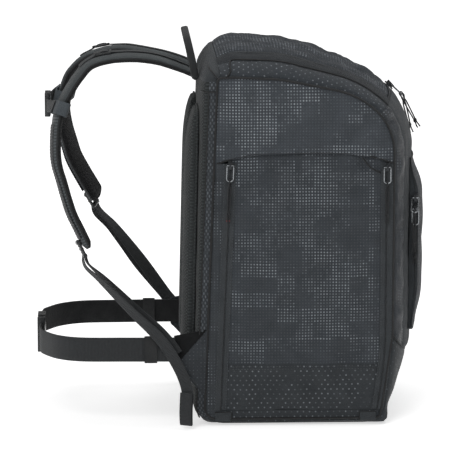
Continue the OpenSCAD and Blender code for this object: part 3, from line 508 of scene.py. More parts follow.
sewn("padded_back_panel", [back_sheet], [strip_cloth, lining_cloth, air_mesh], "bag", "print_fabric",
     "back_panel")


# Base: a moulded plate on the ground, a stiffening board inside, and a hard-wearing
# cloth wrap that turns up round the foot of the bag and is sewn to the panels.
def dress(node, finish):
    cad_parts[node].data.materials.clear()
    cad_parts[node].data.materials.append(finish)


moulded, tree, here = new_finish("moulded_base_plastic")
pebble = add(tree, "ShaderNodeTexVoronoi", {"Vector": here, "Scale": 700.0}, feature="SMOOTH_F1")
surface(tree, blended(tree, speckle(tree, here, 0.02), "#1b1d1f", "#26292c"),
        speckle(tree, here, 0.004, 0.48, 0.66), pebble.outputs["Distance"], 0.0003)
dress("base_panel", moulded)
board, tree, here = new_finish("pressed_fibre_board")
fibre = speckle(tree, here, 0.0015, detail=4.0)
surface(tree, blended(tree, fibre, "#3a3733", "#4d4943"), 0.85, fibre, 0.0002)
dress("base_board", board)
wide_dots = staggered(0.0094, 0.0146)
wrap_cloth = cloth("coated_base_cloth", "#1f2326", "#33383c", wide_dots, "#6b7177", 0.0010, wear=0.0,
                   rough=0.62, weave=0.0014)
wrap_grid = rolled(cloth_grid(toe_i, foot_i + whole_way, -90, 90, 0.007), ruck=0.0006, size=0.07, seed=5)
sewn("base_cloth_wrap", [padded_sheet(wrap_grid)], [wrap_cloth, lining_cloth], "bag", "plain_fabric",
     "base_wrap")

# Frame: a plastic sheet behind the back panel with two flat aluminium stays on it.
# Both stay hidden in their sleeves, and show only with the lid open.
poly, tree, here = new_finish("extruded_frame_sheet")
surface(tree, blended(tree, speckle(tree, here, 0.012), "#85898d", "#92969a"), 0.5,
        bands(tree, here, 0.004, "Y"), 0.0001)
dress("frame_sheet", poly)
alloy, tree, here = new_finish("rolled_aluminium_stay")
drawn = add(tree, "ShaderNodeMapping", {"Vector": here, "Scale": (1, 1, 0.03)}).outputs["Vector"]
scratch = speckle(tree, drawn, 0.0006)
surface(tree, blended(tree, scratch, "#b2b5b9", "#c8cace"), speckle(tree, drawn, 0.001, 0.25, 0.4),
        scratch, 0.00005, Metallic=1.0)
dress("frame_stays", alloy)


# Side panels: a printed upper panel whose arched lower edge makes a hood over the door zips,
# two printed strips beside the door and a dotted sill below it, all padded and sewn together.
def clamp(x):
    return np.clip(x, 0, 1)


def joined(*axes):
    return np.stack(np.broadcast_arrays(*axes), -1)


SIDES = (("left", -1), ("right", 1))
hood_x, hood_top = (-0.108, 0.157), 0.428


def hood_at(x):
    s = clamp(np.abs((2 * x - hood_x[0] - hood_x[1]) / (hood_x[1] - hood_x[0])))
    return hood_top - 0.016 * s ** 3.5


def hood_share(x):
    return clamp(np.minimum(x - hood_x[0], hood_x[1] - x) / 0.02)


def rear_zip(z):
    return -0.106 + 0.016 * (z - 0.028) / 0.4


def front_zip(z):
    low = np.clip((0.140 - z) / 0.112, 0, 2)
    return 0.151 - 0.012 * low ** 1.6


def seam_x(z, front):
    half = on_line(seam_line, np.linspace(26, 45, 1500) if front else np.linspace(2, 8, 1500))
    order = np.argsort(half[:, 1])
    return np.interp(z, half[order, 1], half[order, 0])


def side_grid(x, z, y, sign=-1):
    return joined(x, sign * (seam_y + y), z)


print_cloth = cloth("printed_side_polyester", "#2d3237", "#494f56", square_dots, "#b2b9c0", 0.00125,
                    patches=((14, 11), (5, 7)), seed=3.3)
band_cloth = cloth("printed_strip_polyester", "#272b2f", "#40454a", square_dots, "#8b9298", 0.0011,
                   patches=((7, 5), (3, 4)), seed=11.0)
low_cloth = cloth("dotted_door_foot_polyester", "#23272b", "#393e42", wide_dots, "#959ba1", 0.0012, wear=0.0)
strip_top, hood_swell, hood_fade = 0.4125, 0.0042, 0.05
# The upper panel swells over the hood and in its middle, dips at its seam, hangs in soft folds,
# and has one crease at its front corner.
rim_top = on_line(seam_line, np.linspace(4.77, 36.05, 5000))
rim_top = rim_top[rim_top[:, 1] > strip_top]
rim_way = run_of(rim_top)
s, t = np.linspace(0, 1, 92), np.linspace(0, 1, 40)[:, None]
ends = np.stack([np.interp(s * rim_way[-1], rim_way, rim_top[:, k]) for k in (0, 1)], -1)
spread = 0.35 * s + 0.65 * (0.5 - 0.5 * np.cos(np.pi * s))
edge_x = rim_top[0, 0] + (rim_top[-1, 0] - rim_top[0, 0]) * spread
x = edge_x + (ends[:, 0] - edge_x) * t
z = hood_at(edge_x) + (ends[:, 1] - hood_at(edge_x)) * t
off_hood = z - hood_at(x)
near_seam = (1 - t) * np.linalg.norm(ends - np.stack([edge_x, hood_at(edge_x)], -1), axis=1)
y = (hood_swell * bell(off_hood, hood_fade) * hood_share(x)
     + 0.0075 * (1 - bell(near_seam, 0.035)) * clamp(off_hood / hood_fade) ** 1.5
     - 0.0012 * bell(near_seam, 0.004))
drape = 0.0016 * rucks(x, z, 0.10, 21) + 0.0007 * rucks(x, z, 0.042, 22)
y = y + drape * clamp(off_hood / 0.03) * clamp(near_seam / 0.03)
y = y - 0.0022 * bell(x - 0.128 - 0.7 * (z - 0.42), 0.004) * bell(off_hood, 0.018)
sheets = [(x, z, y, 0)]
zs = np.linspace(0.0125, strip_top, 68)[:, None]
for front in (False, True):
    seam_at = seam_x(zs, front)
    zip_at = front_zip(zs) + 0.0005 if front else rear_zip(zs) - 0.0005
    x = seam_at + (zip_at - seam_at) * np.linspace(0, 1, 12)
    y = -0.0014 * bell(np.abs(x - seam_at), 0.004) + 0.0007 * rucks(x, zs, 0.05, 23 + front)
    sheets.append((x, zs, y, 1))
x = np.linspace(rear_zip(0.02), front_zip(0.02), 60)
sheets.append((x, np.linspace(0.0122, 0.0246, 5)[:, None], 0, 2))
for side, sign in SIDES:
    parts = [padded_sheet(side_grid(x, z, y, sign), uv=joined(x, z), slot=cover, lining=3)
             for x, z, y, cover in sheets]
    sewn(f"side_panel_{side}", parts, [print_cloth, band_cloth, low_cloth, lining_cloth], "bag",
         "print_fabric", f"side_panel_{side}")


# Seam piping: a corded fold of the plain cloth caught in the seam round each side panel, along
# the gussets, across the yoke and the base wrap, and the bound edge of the hood.
def eased(x):
    x = clamp(x)
    return x * x * (3 - 2 * x)


def bag_line(i, a, over):
    """A line so far over the bag's wall, and the way out at each of its points."""
    p = bag(i, a)
    step = 0.02
    n = unit(np.cross(bag(i + step, a) - bag(i - step, a), bag(i, a + 0.5) - bag(i, a - 0.5)))
    n = n * np.sign(((p - np.array(core)) * n).sum(-1, keepdims=True))
    return p + n * over, n


gusset_a = 60
# Near-black piping cloth, also used for painted shade lines along a door crease and round the corner tabs.
piping = cloth("piping_and_shade_line_cloth", "#08090a", "#131517", rough=0.6, weave=0.0012)
ring = on_line(seam_line, np.linspace(0, whole_way, 500, endpoint=False))
for side, sign in SIDES:
    cord_line = side_grid(ring[:, 0], ring[:, 1], 0.0002, sign)
    cord_line = cord_line + unit((cord_line - cord_line.mean(0)) * (1, 0, 1)) * 0.0004
    edge = np.linspace(hood_x[0] - 0.004, hood_x[1] + 0.003, 80)
    bound = side_grid(edge, hood_at(edge) + 0.0012, 0.0016 + 0.0016 * hood_share(edge), sign)
    down = np.linspace(11.1, 28.3, 300)
    turn_in = gusset_a + (90 - gusset_a) * (1 - eased((down - down[0]) / 2.0))
    back_i = np.linspace(2.1, 4.97, 120)
    gap = (on_line(seam_line, back_i) - on_line(wall_line, back_i))[:, 0]
    strip_a = np.degrees(np.arccos((strip_wide / gap) ** (square_at(back_i) / 2)))
    lines = [bag_line(down, sign * turn_in, 0.0004)[0], bag_line(back_i, sign * strip_a, 0.0005)[0]]
    lines += [bag_line(i, sign * np.linspace(45, 90, 40), 0.0003)[0] for i in (4.97, 7.6, 41.0)]
    welt = [tube(cord_line, 0.0017, 8, True), tube(bound, 0.0012)] + [tube(line, 0.0012, 6) for line in lines]
    sewn(f"seam_piping_{side}", welt, [piping], "bag", "plain_fabric")

# Yoke, top gussets and front: the yoke closes the top of the back, a dotted gusset and a plain
# band that carries the lid zip run over each shoulder, and the front panel has creased corners.
yoke_grid = rolled(cloth_grid(neck_i, crown_i, -90, 90, 0.005), ruck=0.0009, size=0.05, seed=7)
sewn("plain_yoke", [padded_sheet(yoke_grid)], [plain_cloth, lining_cloth], "bag", "plain_fabric", "top_yoke")
gusset_cloth = cloth("dotted_gusset_polyester", "#22272c", "#393f45", staggered(0.009, 0.0146), "#8a9096",
                     0.0011, wear=0.1)
band_plain = cloth("plain_band_polyester", "#171a1e", "#2b3035", rough=0.6, shine=0.3)
zip_a = 48.4
for side, sign in SIDES:
    gusset = rolled(cloth_grid(crown_i, brow_i, sign * 90, sign * gusset_a, 0.005), edges="lr", ruck=0.0015,
                    size=0.045, seed=31, calm=0.010)
    band = rolled(cloth_grid(crown_i, brow_i, sign * gusset_a, sign * zip_a, 0.004), edges="l", ruck=0.0006,
                  size=0.06, seed=33)
    sewn(f"top_gusset_{side}", [padded_sheet(gusset, lining=2), padded_sheet(band, slot=1, lining=2)],
         [gusset_cloth, band_plain, lining_cloth], "bag", "print_fabric", f"top_strip_{side}")
corner_cloth = cloth("creased_corner_polyester", "#171b20", "#30363d", square_dots, "#7c838a", 0.0010,
                     patches=((6, 9), (3, 4)), seed=15.0, rough=0.34)
front_parts = []
for a0, a1, cover in ((-90, -gusset_a, 0), (-gusset_a, gusset_a, 1), (gusset_a, 90, 0)):
    grid = rolled(cloth_grid(brow_i, toe_i, a0, a1, 0.005), edges="blr", ruck=(0.0030, 0.0014)[cover],
                  size=(0.032, 0.06)[cover], seed=35 + cover, calm=(0.008, 0.02)[cover])
    front_parts.append(padded_sheet(grid, slot=cover, lining=2))
sewn("padded_front_panel", front_parts, [corner_cloth, plain_cloth, lining_cloth], "bag", "print_fabric",
     "front_panel")

# Boot liners: the coated nylon wall and ceiling that part each boot compartment from the
# main one, sewn in at the back, the front and the hood seam.
liner_nylon = cloth("coated_liner_nylon", "#2b2f33", "#3d4246", rough=0.5, weave=0.0016)
liner_thick, liner_y, liner_top, liner_back = 0.002, 0.052, 0.436, -0.127
zs = np.linspace(0.0095, 0.434, 50)[:, None]
front_of = np.interp(zs, (0.0095, 0.05, 0.116, 0.434), (0.141, 0.161, 0.189, 0.193))
x = liner_back + (front_of - liner_back) * np.linspace(0, 1, 44)
lx, ly = np.meshgrid(np.linspace(-0.111, 0.146, 40), np.linspace(0.050, 0.158, 20), indexing="ij")
for side, sign in SIDES:
    wall = joined(x, sign * (liner_y + 0.0008 * rucks(x, zs, 0.1, 41)), zs)
    roof = joined(lx, sign * ly, liner_top + 0.0006 * rucks(lx, ly, 0.08, 42))
    sewn(f"boot_liner_cloth_{side}",
         [padded_sheet(wall, liner_thick, lining=0, centre=(0.02, 0, 0.2)),
          padded_sheet(roof, liner_thick, lining=0, centre=(0.02, sign * 0.1, 0.2))],
         [liner_nylon], "bag", "plain_fabric", f"boot_liner_{side}")

# Boot doors: a printed padded panel between two zips, sewn along its foot, with a dotted lower
# panel joined by a lapped seam, and the door's half of each zip tape sewn along its sides.
sill, seam_z, zip_half, head_gap = 0.025, 0.0975, 0.0025, 0.0005
tape_wide, tape_thick, door_tape_top = 0.0095, 0.0009, 0.4135
door_cloth = cloth("printed_door_polyester", "#272b30", "#40464c", square_dots, "#a8afb6", 0.0012,
                   patches=((12, 15), (6, 5)), seed=7.7)
tape_cloth = cloth("zip_tape_twill", "#24282b", "#3d4246", rough=0.66, weave=0.0016, depth=0.0003)


def door_place(x, z):
    """Where a point lies in the door: its share of the way across and of the way up."""
    s = (x - rear_zip(z) - zip_half) / (front_zip(z) - rear_zip(z) - 2 * zip_half)
    return clamp(s), clamp((z - sill) / (hood_at(x) - head_gap - sill))


def door_swell(s, t):
    from_zip = clamp((0.24 * np.minimum(s, 1 - s) - 0.004) / 0.012)
    return 0.007 * from_zip * (4 * s * (1 - s)) ** 0.7 * (4 * t * (1 - t)) ** 0.7


def door_face(s, t):
    """The door's face: swollen, with soft folds, a crease in its upper front corner, a lapped
    seam across it and a groove beside each zip tape."""
    x_top = rear_zip(hood_top) + zip_half + s * (0.151 - rear_zip(hood_top) - 2 * zip_half)
    z = sill + t * (hood_at(x_top) - head_gap - sill)
    x = rear_zip(z) + zip_half + s * (front_zip(z) - rear_zip(z) - 2 * zip_half)
    off_zip = np.minimum(x - rear_zip(z), front_zip(z) - x)
    inside = clamp((off_zip - 0.010) / 0.03)
    fold = 0.0028 * bell(x - 0.118 + 0.62 * (z - 0.405), 0.006) * clamp((z - 0.35) / 0.04)
    drape = 0.0019 * rucks(x, z, 0.085, 51, 1.3) + 0.0008 * rucks(x, z, 0.035, 52)
    seam = 0.0009 * clamp((seam_z - z) / 0.004) * inside - 0.0016 * bell(z - seam_z, 0.0022)
    y = door_swell(s, t) + (drape - fold) * inside + seam - 0.0012 * bell(off_zip - 0.0102, 0.0016)
    return x, z, y


def side_tape(x, z, y, sign, slot=0):
    return padded_sheet(side_grid(x, z, y, sign), tape_thick, joined(x, z), slot, slot)


x, z, y = door_face(np.linspace(0, 1, 76), np.linspace(0, 1, 110)[:, None])
door_slots = np.where((z[:-1, :-1] + z[1:, 1:]) / 2 < seam_z, 1, 0)
# A near-black cord laid along the crease in the door's upper front corner is painted shade in that crease.
crease_shade_line = through([(0.113, 0.4215), (0.121, 0.410), (0.1305, 0.4025), (0.141, 0.3975)], 8)
crease_shade_lift = np.interp(crease_shade_line[:, 0], (0.113, 0.141), (0.0035, 0.0012))
for side, sign in SIDES:
    parts = [padded_sheet(side_grid(x, z, y, sign), 0.003, joined(x, z), 0, 2)]
    parts[0][3][:door_slots.size] = door_slots.ravel()
    for zip_line, way in ((rear_zip, 1), (front_zip, -1)):
        rows = np.linspace(sill + 0.0005, door_tape_top, 90)[:, None]
        tx = zip_line(rows) + way * np.linspace(0.0026, tape_wide, 5)
        parts.append(side_tape(tx, rows, door_swell(*door_place(tx, rows)) + 0.0007, sign, 3))
    parts.append(tube(side_grid(*crease_shade_line.T, crease_shade_lift, sign), 0.0011, 6, slot=4))
    sewn(f"boot_door_cloth_{side}", parts, [door_cloth, low_cloth, lining_cloth, tape_cloth, piping],
         f"door_{side}", "print_fabric", f"boot_door_{side}")

# Lid: a soft padded panel over the crown of the bag, sewn along the yoke and zipped on its
# other three sides. It is slack, so it ruckles towards its corners. A narrow strip lies under its
# rear seam, its rows close together where it would have to bend, since the seam is arched and the axis is
# straight.
lid_cloth = cloth("printed_lid_polyester", "#1a1f24", "#31373e", square_dots, "#a3aab2", 0.0012,
                  patches=((9, 12), (4, 6)), seed=5.5, rough=0.5, sheen=0.04, shine=0.3)
lid_from, lid_to, lid_a = 11.06, 27.8, 46.0
lid_grid = rolled(cloth_grid(lid_from, lid_to, -lid_a, lid_a, 0.005), roll=0.0022, ruck=0.0026, size=0.075,
                  seed=61, swell=-0.0026)
lid_grid = rolled(lid_grid, roll=0.0, ruck=0.0007, size=0.024, seed=62)
sewn("soft_lid", [padded_sheet(lid_grid)], [lid_cloth, lining_cloth], "lid", "plain_fabric", "lid_panel")
lid_seam_i, strip_deep, bend_from, bend_to = 11.02, 0.0062, 0.0012, 0.002
into_bag = on_line(seam_line, lid_seam_i) - on_line(wall_line, lid_seam_i)
depth_way = unit(np.array((into_bag[0], 0, into_bag[1])))
lid_way = np.array((-depth_way[2], 0, depth_way[0]))
strip_at = np.concatenate([np.linspace(-0.002, 0.0011, 3), np.linspace(bend_from, bend_to, 12),
                           np.linspace(0.0021, 0.006, 4)])
strip_line = bag(lid_seam_i, np.linspace(-45.5, 45.5, 45)) + depth_way * strip_deep
strip_grid = strip_line + strip_at[:, None, None] * lid_way
strip = piece("lid_hinge_strip", [padded_sheet(strip_grid, 0.0009)], [lid_cloth, lining_cloth])
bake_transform(strip)

# Zips: woven tape sewn to the bag with a nylon coil down its middle, closed. The lid zip runs
# round three sides, each door has one zip at its back and one at its front.
coil, tree, here = new_finish("nylon_zip_coil")
surface(tree, blended(tree, speckle(tree, here, 0.003), "#1c1e20", "#303336"),
        speckle(tree, here, 0.002, 0.34, 0.5))
rows = bpy.data.node_groups.new("rows_along_seams", "GeometryNodeTree")
for name, kind in (("Geometry", "Geometry"), ("Pitch", "Float"), ("Size", "Vector"), ("Spread", "Float"),
                   ("Seed", "Int"), ("Finish", "Material")):
    rows.interface.new_socket(name, in_out="INPUT", socket_type=f"NodeSocket{kind}")
rows.interface.new_socket("Geometry", in_out="OUTPUT", socket_type="NodeSocketGeometry")
given = add(rows, "NodeGroupInput").outputs
curve = add(rows, "GeometryNodeMeshToCurve", {"Mesh": given["Geometry"]})
even = add(rows, "GeometryNodeResampleCurve", {"Curve": curve.outputs[0], "Length": given["Pitch"]},
           mode="LENGTH")
along = add(rows, "GeometryNodeInputTangent")
face_out = add(rows, "GeometryNodeInputNamedAttribute", {"Name": "out"}, data_type="FLOAT_VECTOR")
first = add(rows, "FunctionNodeAlignRotationToVector", {"Vector": along.outputs[0]}, axis="X")
second = add(rows, "FunctionNodeAlignRotationToVector",
             {"Rotation": first.outputs[0], "Vector": face_out.outputs["Attribute"]},
             axis="Z", pivot_axis="X")
varied = add(rows, "FunctionNodeRandomValue", {2: sums(rows, 1.0, given["Spread"], "SUBTRACT"),
                                               3: sums(rows, 1.0, given["Spread"]), "Seed": given["Seed"]},
             data_type="FLOAT")
sized = add(rows, "ShaderNodeVectorMath", {0: given["Size"], "Scale": varied.outputs[1]}, operation="SCALE")
bead = add(rows, "GeometryNodeMeshUVSphere", {"Segments": 6, "Rings": 4, "Radius": 0.5})
sown = add(rows, "GeometryNodeInstanceOnPoints", {"Points": even.outputs[0], "Instance": bead.outputs["Mesh"],
                                                  "Rotation": second.outputs[0], "Scale": sized.outputs[0]})
real = add(rows, "GeometryNodeRealizeInstances", {"Geometry": sown.outputs[0]})
tinted = add(rows, "GeometryNodeSetMaterial", {"Geometry": real.outputs[0], "Material": given["Finish"]})
add(rows, "NodeGroupOutput", {"Geometry": tinted.outputs[0]})


def evaluated(made):
    return bpy.data.meshes.new_from_object(made.evaluated_get(bpy.context.evaluated_depsgraph_get()))


def smoothed(mesh):
    mesh.polygons.foreach_set("use_smooth", [True] * len(mesh.polygons))


def sow(name, lines, pitch, size, finish, body, slot):
    """A row of stitches or zip coils along each line, a pair of points and ways out.
    The size of one is its length along the line, its width across it and its height."""
    points = np.concatenate([p for p, _ in lines])
    outs = np.concatenate([np.broadcast_to(o, p.shape) for p, o in lines])
    edges, start = [], 0
    for p, _ in lines:
        edges += [(start + k, start + k + 1) for k in range(len(p) - 1)]
        start += len(p)
    guide = bpy.data.meshes.new(name + "_guide")
    guide.from_pydata(points.tolist(), edges, [])
    ways_out = guide.attributes.new("out", "FLOAT_VECTOR", "POINT")
    ways_out.data.foreach_set("vector", outs.astype(np.float32).ravel())
    holder = place(name + "_guide", guide)
    maker = holder.modifiers.new("rows", "NODES")
    maker.node_group = rows
    values = {"Pitch": pitch, "Size": size, "Spread": 0.06, "Seed": 5, "Finish": finish}
    for item in rows.interface.items_tree:
        if item.in_out == "INPUT" and item.name in values:
            maker[item.identifier] = values[item.name]
    holder.data.update()
    mesh = evaluated(holder)
    bpy.data.objects.remove(holder)
    mesh.name = name
    smoothed(mesh)
    fit(place(name, mesh), body, slot)


coil_pitch, rear_coil_top = 0.0019, 0.4175
zip_lines = []
tapes = []
for _, sign in SIDES:
    for zip_line, way, top in ((rear_zip, -1, rear_coil_top), (front_zip, 1, door_tape_top)):
        z = np.linspace(sill, top, 120)
        zip_lines.append((side_grid(zip_line(z), z, 0.0004, sign), np.array((0, sign, 0))))
        z = np.linspace(sill, strip_top, 120)[:, None]
        tapes.append(side_tape(zip_line(z) + way * np.linspace(0.0004, tape_wide, 6), z, 0.0008, sign))
        tapes.append(side_tape(zip_line(z) - way * np.linspace(0.0004, 0.0024, 3), z, 0.0003, sign))
sewn("door_zip_tapes", tapes, [tape_cloth], "bag", "zip_coil", "door_zips")
sow("door_zip_coils", zip_lines, coil_pitch, (0.0012, 0.0042, 0.0014), coil, "bag", "zip_coil")
lid_zip_a, lid_zip_i = 47.27, 28.0
steps = np.linspace(lid_from, 27.84, 400)
lid_runs = [bag_line(steps, -lid_zip_a, 0.0), bag_line(steps, lid_zip_a, 0.0),
            bag_line(lid_zip_i, np.linspace(-lid_zip_a, lid_zip_a, 160), 0.0)]
lid_tape = []
for p, n in lid_runs:
    side = np.cross(unit(np.gradient(p, axis=0)), n)
    band = p[:, None] + side[:, None] * np.linspace(-0.0021, 0.0021, 5)[None, :, None] + n[:, None] * 0.0002
    lid_tape.append(padded_sheet(band, 0.0012, slot=0, lining=0))
sewn("lid_zip_tape", lid_tape, [tape_cloth], "bag", "zip_coil", "lid_zip")
sow("lid_zip_coils", [(p + n * 0.0003, n) for p, n in lid_runs], coil_pitch, (0.0012, 0.0036, 0.0014), coil,
    "bag", "zip_coil")

# Front pocket: a low padded wall on the front panel, a zip round its sides and top, and a
# flap that is sewn along the foot and swells over what is in the pocket.
pocket_a, deep, rim, wall_thick = 42.77, 0.013, 0.0085, 0.003
pocket_top, pocket_foot = 0.412, 0.136


def front_i(z):
    ends = on_line(wall_line, np.array((36.0, 37.0)))[:, 1]
    return 36 + (ends[0] - z) / (ends[0] - ends[1])


def pocket_loop(inset):
    high_i, low_i = front_i(pocket_top - inset), front_i(pocket_foot + inset)
    a = pocket_a - inset / 0.00215
    k = np.linspace(0, 1, 60)[:-1]
    i = np.concatenate([high_i + (low_i - high_i) * k, low_i + 0 * k,
                        low_i + (high_i - low_i) * k, high_i + 0 * k])
    b = np.concatenate([-a + 0 * k, -a + 2 * a * k, a + 0 * k, a - 2 * a * k])
    return i, b


def pocket_rise(i):
    z = on_line(wall_line, i)[..., 1]
    return (0.2 + 0.8 * eased((pocket_top - z) / 0.058)) * (0.5 + 0.5 * eased((z - pocket_foot) / 0.075))


def pocket_line(i, a, over):
    return bag_line(i, a, over * pocket_rise(i)[..., None])


def pocket_wall(low, high):
    outer, inner = pocket_loop(0.0), pocket_loop(wall_thick)
    ring = [pocket_line(*loop, over)[0] for loop, over in
            ((outer, low), (outer, (low + high) / 2), (outer, high), (inner, high), (inner, low))]
    return loft(np.stack(ring, 1), True)


sewn("pocket_wall_cloth", [pocket_wall(0.0003, rim)], [plain_cloth], "bag", "plain_fabric", "pocket_gusset")
sewn("pocket_zip_tape", [pocket_wall(rim, deep - 0.0005)], [tape_cloth], "bag", "zip_coil", "pocket_zip")
zipped = np.r_[118:236, 0:59]
zip_out = 0.0105
edge, inner = [pocket_line(*[v[zipped] for v in pocket_loop(inset)], zip_out)[0]
               for inset in (0.0, wall_thick)]
sideways = unit(edge - inner)
sow("pocket_zip_coils", [(edge + sideways * 0.0002, sideways)], coil_pitch, (0.0012, 0.0034, 0.0012), coil,
    "bag", "zip_coil")
rows_i = np.linspace(front_i(pocket_top), front_i(pocket_foot), 60)[:, None]
flap = pocket_line(rows_i, np.linspace(-pocket_a, pocket_a, 50), deep + 0.003)[0]
flap = rolled(flap, reach=0.006, ruck=0.0009, size=0.09, seed=71, swell=0.0022)
pocket_cloth = cloth("printed_pocket_polyester", "#292d30", "#42464b", square_dots, "#7f858b", 0.0011,
                     patches=((8, 5), (4, 4)), seed=19.0)
sewn("pocket_flap_cloth", [padded_sheet(flap, 0.003)], [pocket_cloth, lining_cloth], "pocket_face",
     "print_fabric", "pocket_flap")

# Back pads: two foam pads under a knitted air mesh, blown up by the foam and sewn round
# their edges to the back panel, with a bound welt along the seam.
pad_wide, pad_tall, pad_y, pad_z, pad_out = 0.118, 0.430, 0.024 + 0.059, 0.060 + 0.218, 0.0125
puff_limit, sewn_depth = 0.005, 0.003
back_lean = math.atan2(0.012, 0.538)


def back_plane(z):
    return -0.149 + (z - 0.003) * math.tan(back_lean)


welts = []
for side, sign in SIDES:
    t = (0.5 - 0.5 * np.cos(np.pi * np.linspace(0, 1, 70)))[:, None]
    s = (0.5 - 0.5 * np.cos(np.pi * np.linspace(0, 1, 24)))[None, :]
    crown = np.sqrt(clamp(1 - np.abs(2 * s - 1) ** 8) * clamp(1 - np.abs(2 * t - 1) ** 16))
    draw = 0.97 - 0.05 * (1 - crown)
    high = pad_z + (t - 0.5) * pad_tall
    corner = np.maximum(1 - np.abs(2 * t - 1) ** 22, 0.02) ** 0.22
    yy = sign * (pad_y + (s - 0.5) * pad_wide * draw * corner)
    skin = joined(back_plane(high) - 0.0003 - (0.0015 + pad_out * crown), yy, high)
    back = joined(back_plane(high) - 0.0004, yy, high)
    made = padded_sheet(skin, 0.0, lining=0, centre=(0.3, 0, 0.28))
    made[0][skin[..., 0].size:] = back.reshape(-1, 3)
    pad = piece(f"back_pad_mesh_{side}", [made], [air_mesh])
    remade = pad.modifiers.new("remade", "REMESH")
    remade.mode = "VOXEL"
    remade.voxel_size = 0.005
    start_form = evaluated(pad)
    pad.modifiers.clear()
    pad.data = start_form
    pinned = pad.vertex_groups.new(name="sewn")
    rest = np.array([v.co for v in start_form.vertices])
    from_back = back_plane(rest[:, 2]) - rest[:, 0]
    pinned.add([int(k) for k in np.nonzero(from_back < sewn_depth)[0]], 1.0, "REPLACE")
    blown = pad.modifiers.new("blown", "CLOTH")
    blown.settings.use_pressure = True
    blown.settings.uniform_pressure_force = 4.0
    blown.settings.effector_weights.gravity = 0.0
    blown.settings.vertex_group_mass = "sewn"
    for step in range(1, 21):
        scene.frame_set(step)
    puffed = evaluated(pad)
    shift = np.array([v.co for v in puffed.vertices]) - rest
    bpy.data.meshes.remove(puffed)
    pad.modifiers.clear()
    scene.frame_set(1)
    far = np.linalg.norm(shift, axis=1, keepdims=True)
    held = rest + shift * np.minimum(1, puff_limit / np.maximum(far, 1e-9))
    start_form.vertices.foreach_set("co", held.ravel())
    smoothed(start_form)
    smooth = pad.modifiers.new("smooth", "SUBSURF")
    smooth.levels = smooth.render_levels = 1
    final = evaluated(pad)
    pad.modifiers.clear()
    pad.data = final
    final.materials.clear()
    final.materials.append(air_mesh)
    fit(pad, "bag", "air_mesh", f"back_pad_{side}")
    rim_points = np.concatenate([back[0, :-1], back[:-1, -1], back[-1, :0:-1], back[:0:-1, 0]])
    welts.append(tube(rim_points + np.array((-0.0012, 0, 0)), 0.0018, 8, True))
sewn("back_pad_welts", welts, [air_mesh], "bag", "air_mesh")


# Sliders and pulls: die-cast metal sliders on the zips, each with a bent wire bail that
# swings on a pin through the slider's bridge.
def rubbed_metal(name, low, high, gloss, metallic):
    finish, tree, here = new_finish(name)
    rubbed = speckle(tree, here, 0.0012, detail=3.0)
    surface(tree, blended(tree, rubbed, low, high), speckle(tree, here, 0.0008, *gloss), rubbed, 0.00003,
            Metallic=metallic)
    return finish


def softened(node, name, round_off, finish, body, slot):
    form = bmesh.new()
    form.from_mesh(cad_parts[node].data)
    bmesh.ops.remove_doubles(form, verts=form.verts, dist=2e-5)
    bmesh.ops.dissolve_limit(form, angle_limit=0.03, verts=form.verts, edges=form.edges)
    corners = [e for e in form.edges if len(e.link_faces) == 2 and e.calc_face_angle(0) > 0.6]
    bmesh.ops.bevel(form, geom=corners, offset=round_off, segments=3, profile=0.5, affect="EDGES",
                    clamp_overlap=True)
    bmesh.ops.triangulate(form, faces=[f for f in form.faces if len(f.verts) > 4])
    mesh = bpy.data.meshes.new(name)
    form.to_mesh(mesh)
    form.free()
    smoothed(mesh)
    mesh.set_sharp_from_angle(angle=0.7)
    mesh.materials.clear()
    mesh.materials.append(finish)
    fit(place(name, mesh), body, slot, node)


dull_metal = rubbed_metal("nickel_plated_zinc", "#6f7275", "#9a9da0", (0.2, 0.34), 1.0)
black_metal = rubbed_metal("black_lacquered_zinc", "#1c1e20", "#3a3d40", (0.28, 0.42), 0.6)
bail_half, bend_at = 5.1, 19.9
for pull, pin, across, way in bails:
    slider = pull.replace("pull", "slider")
    softened(slider, f"{slider}_body", 0.0007, black_metal, slider, "zip_metal")
    local = ([(x, 0) for x in np.linspace(-bail_half, bail_half, 7)]
             + [(bail_half, z) for z in np.linspace(3, 17, 6)]
             + [(bail_half * math.cos(b), bend_at + bail_half * math.sin(b))
                for b in np.linspace(0, np.pi, 17)]
             + [(-bail_half, z) for z in np.linspace(17, 3, 6)])
    wire = np.array([pin + MM * (x * across + z * way) for x, z in local])
    sewn(f"{pull}_bail", [tube(wire, 0.00105, 8, True)], [dull_metal], pull, "zip_metal")

# Corner tabs and belt wings: webbing tabs sewn over the lower corners of the sides, and flat
# padded wings sewn over the side seams, which carry the hip belt and the strap webbing.
wing_cloth = cloth("dotted_wing_polyester", "#22262a", "#393e43", [(0.0058, 0.0058, 0.0)], "#61676d", 0.0009,
                   wear=0.1)
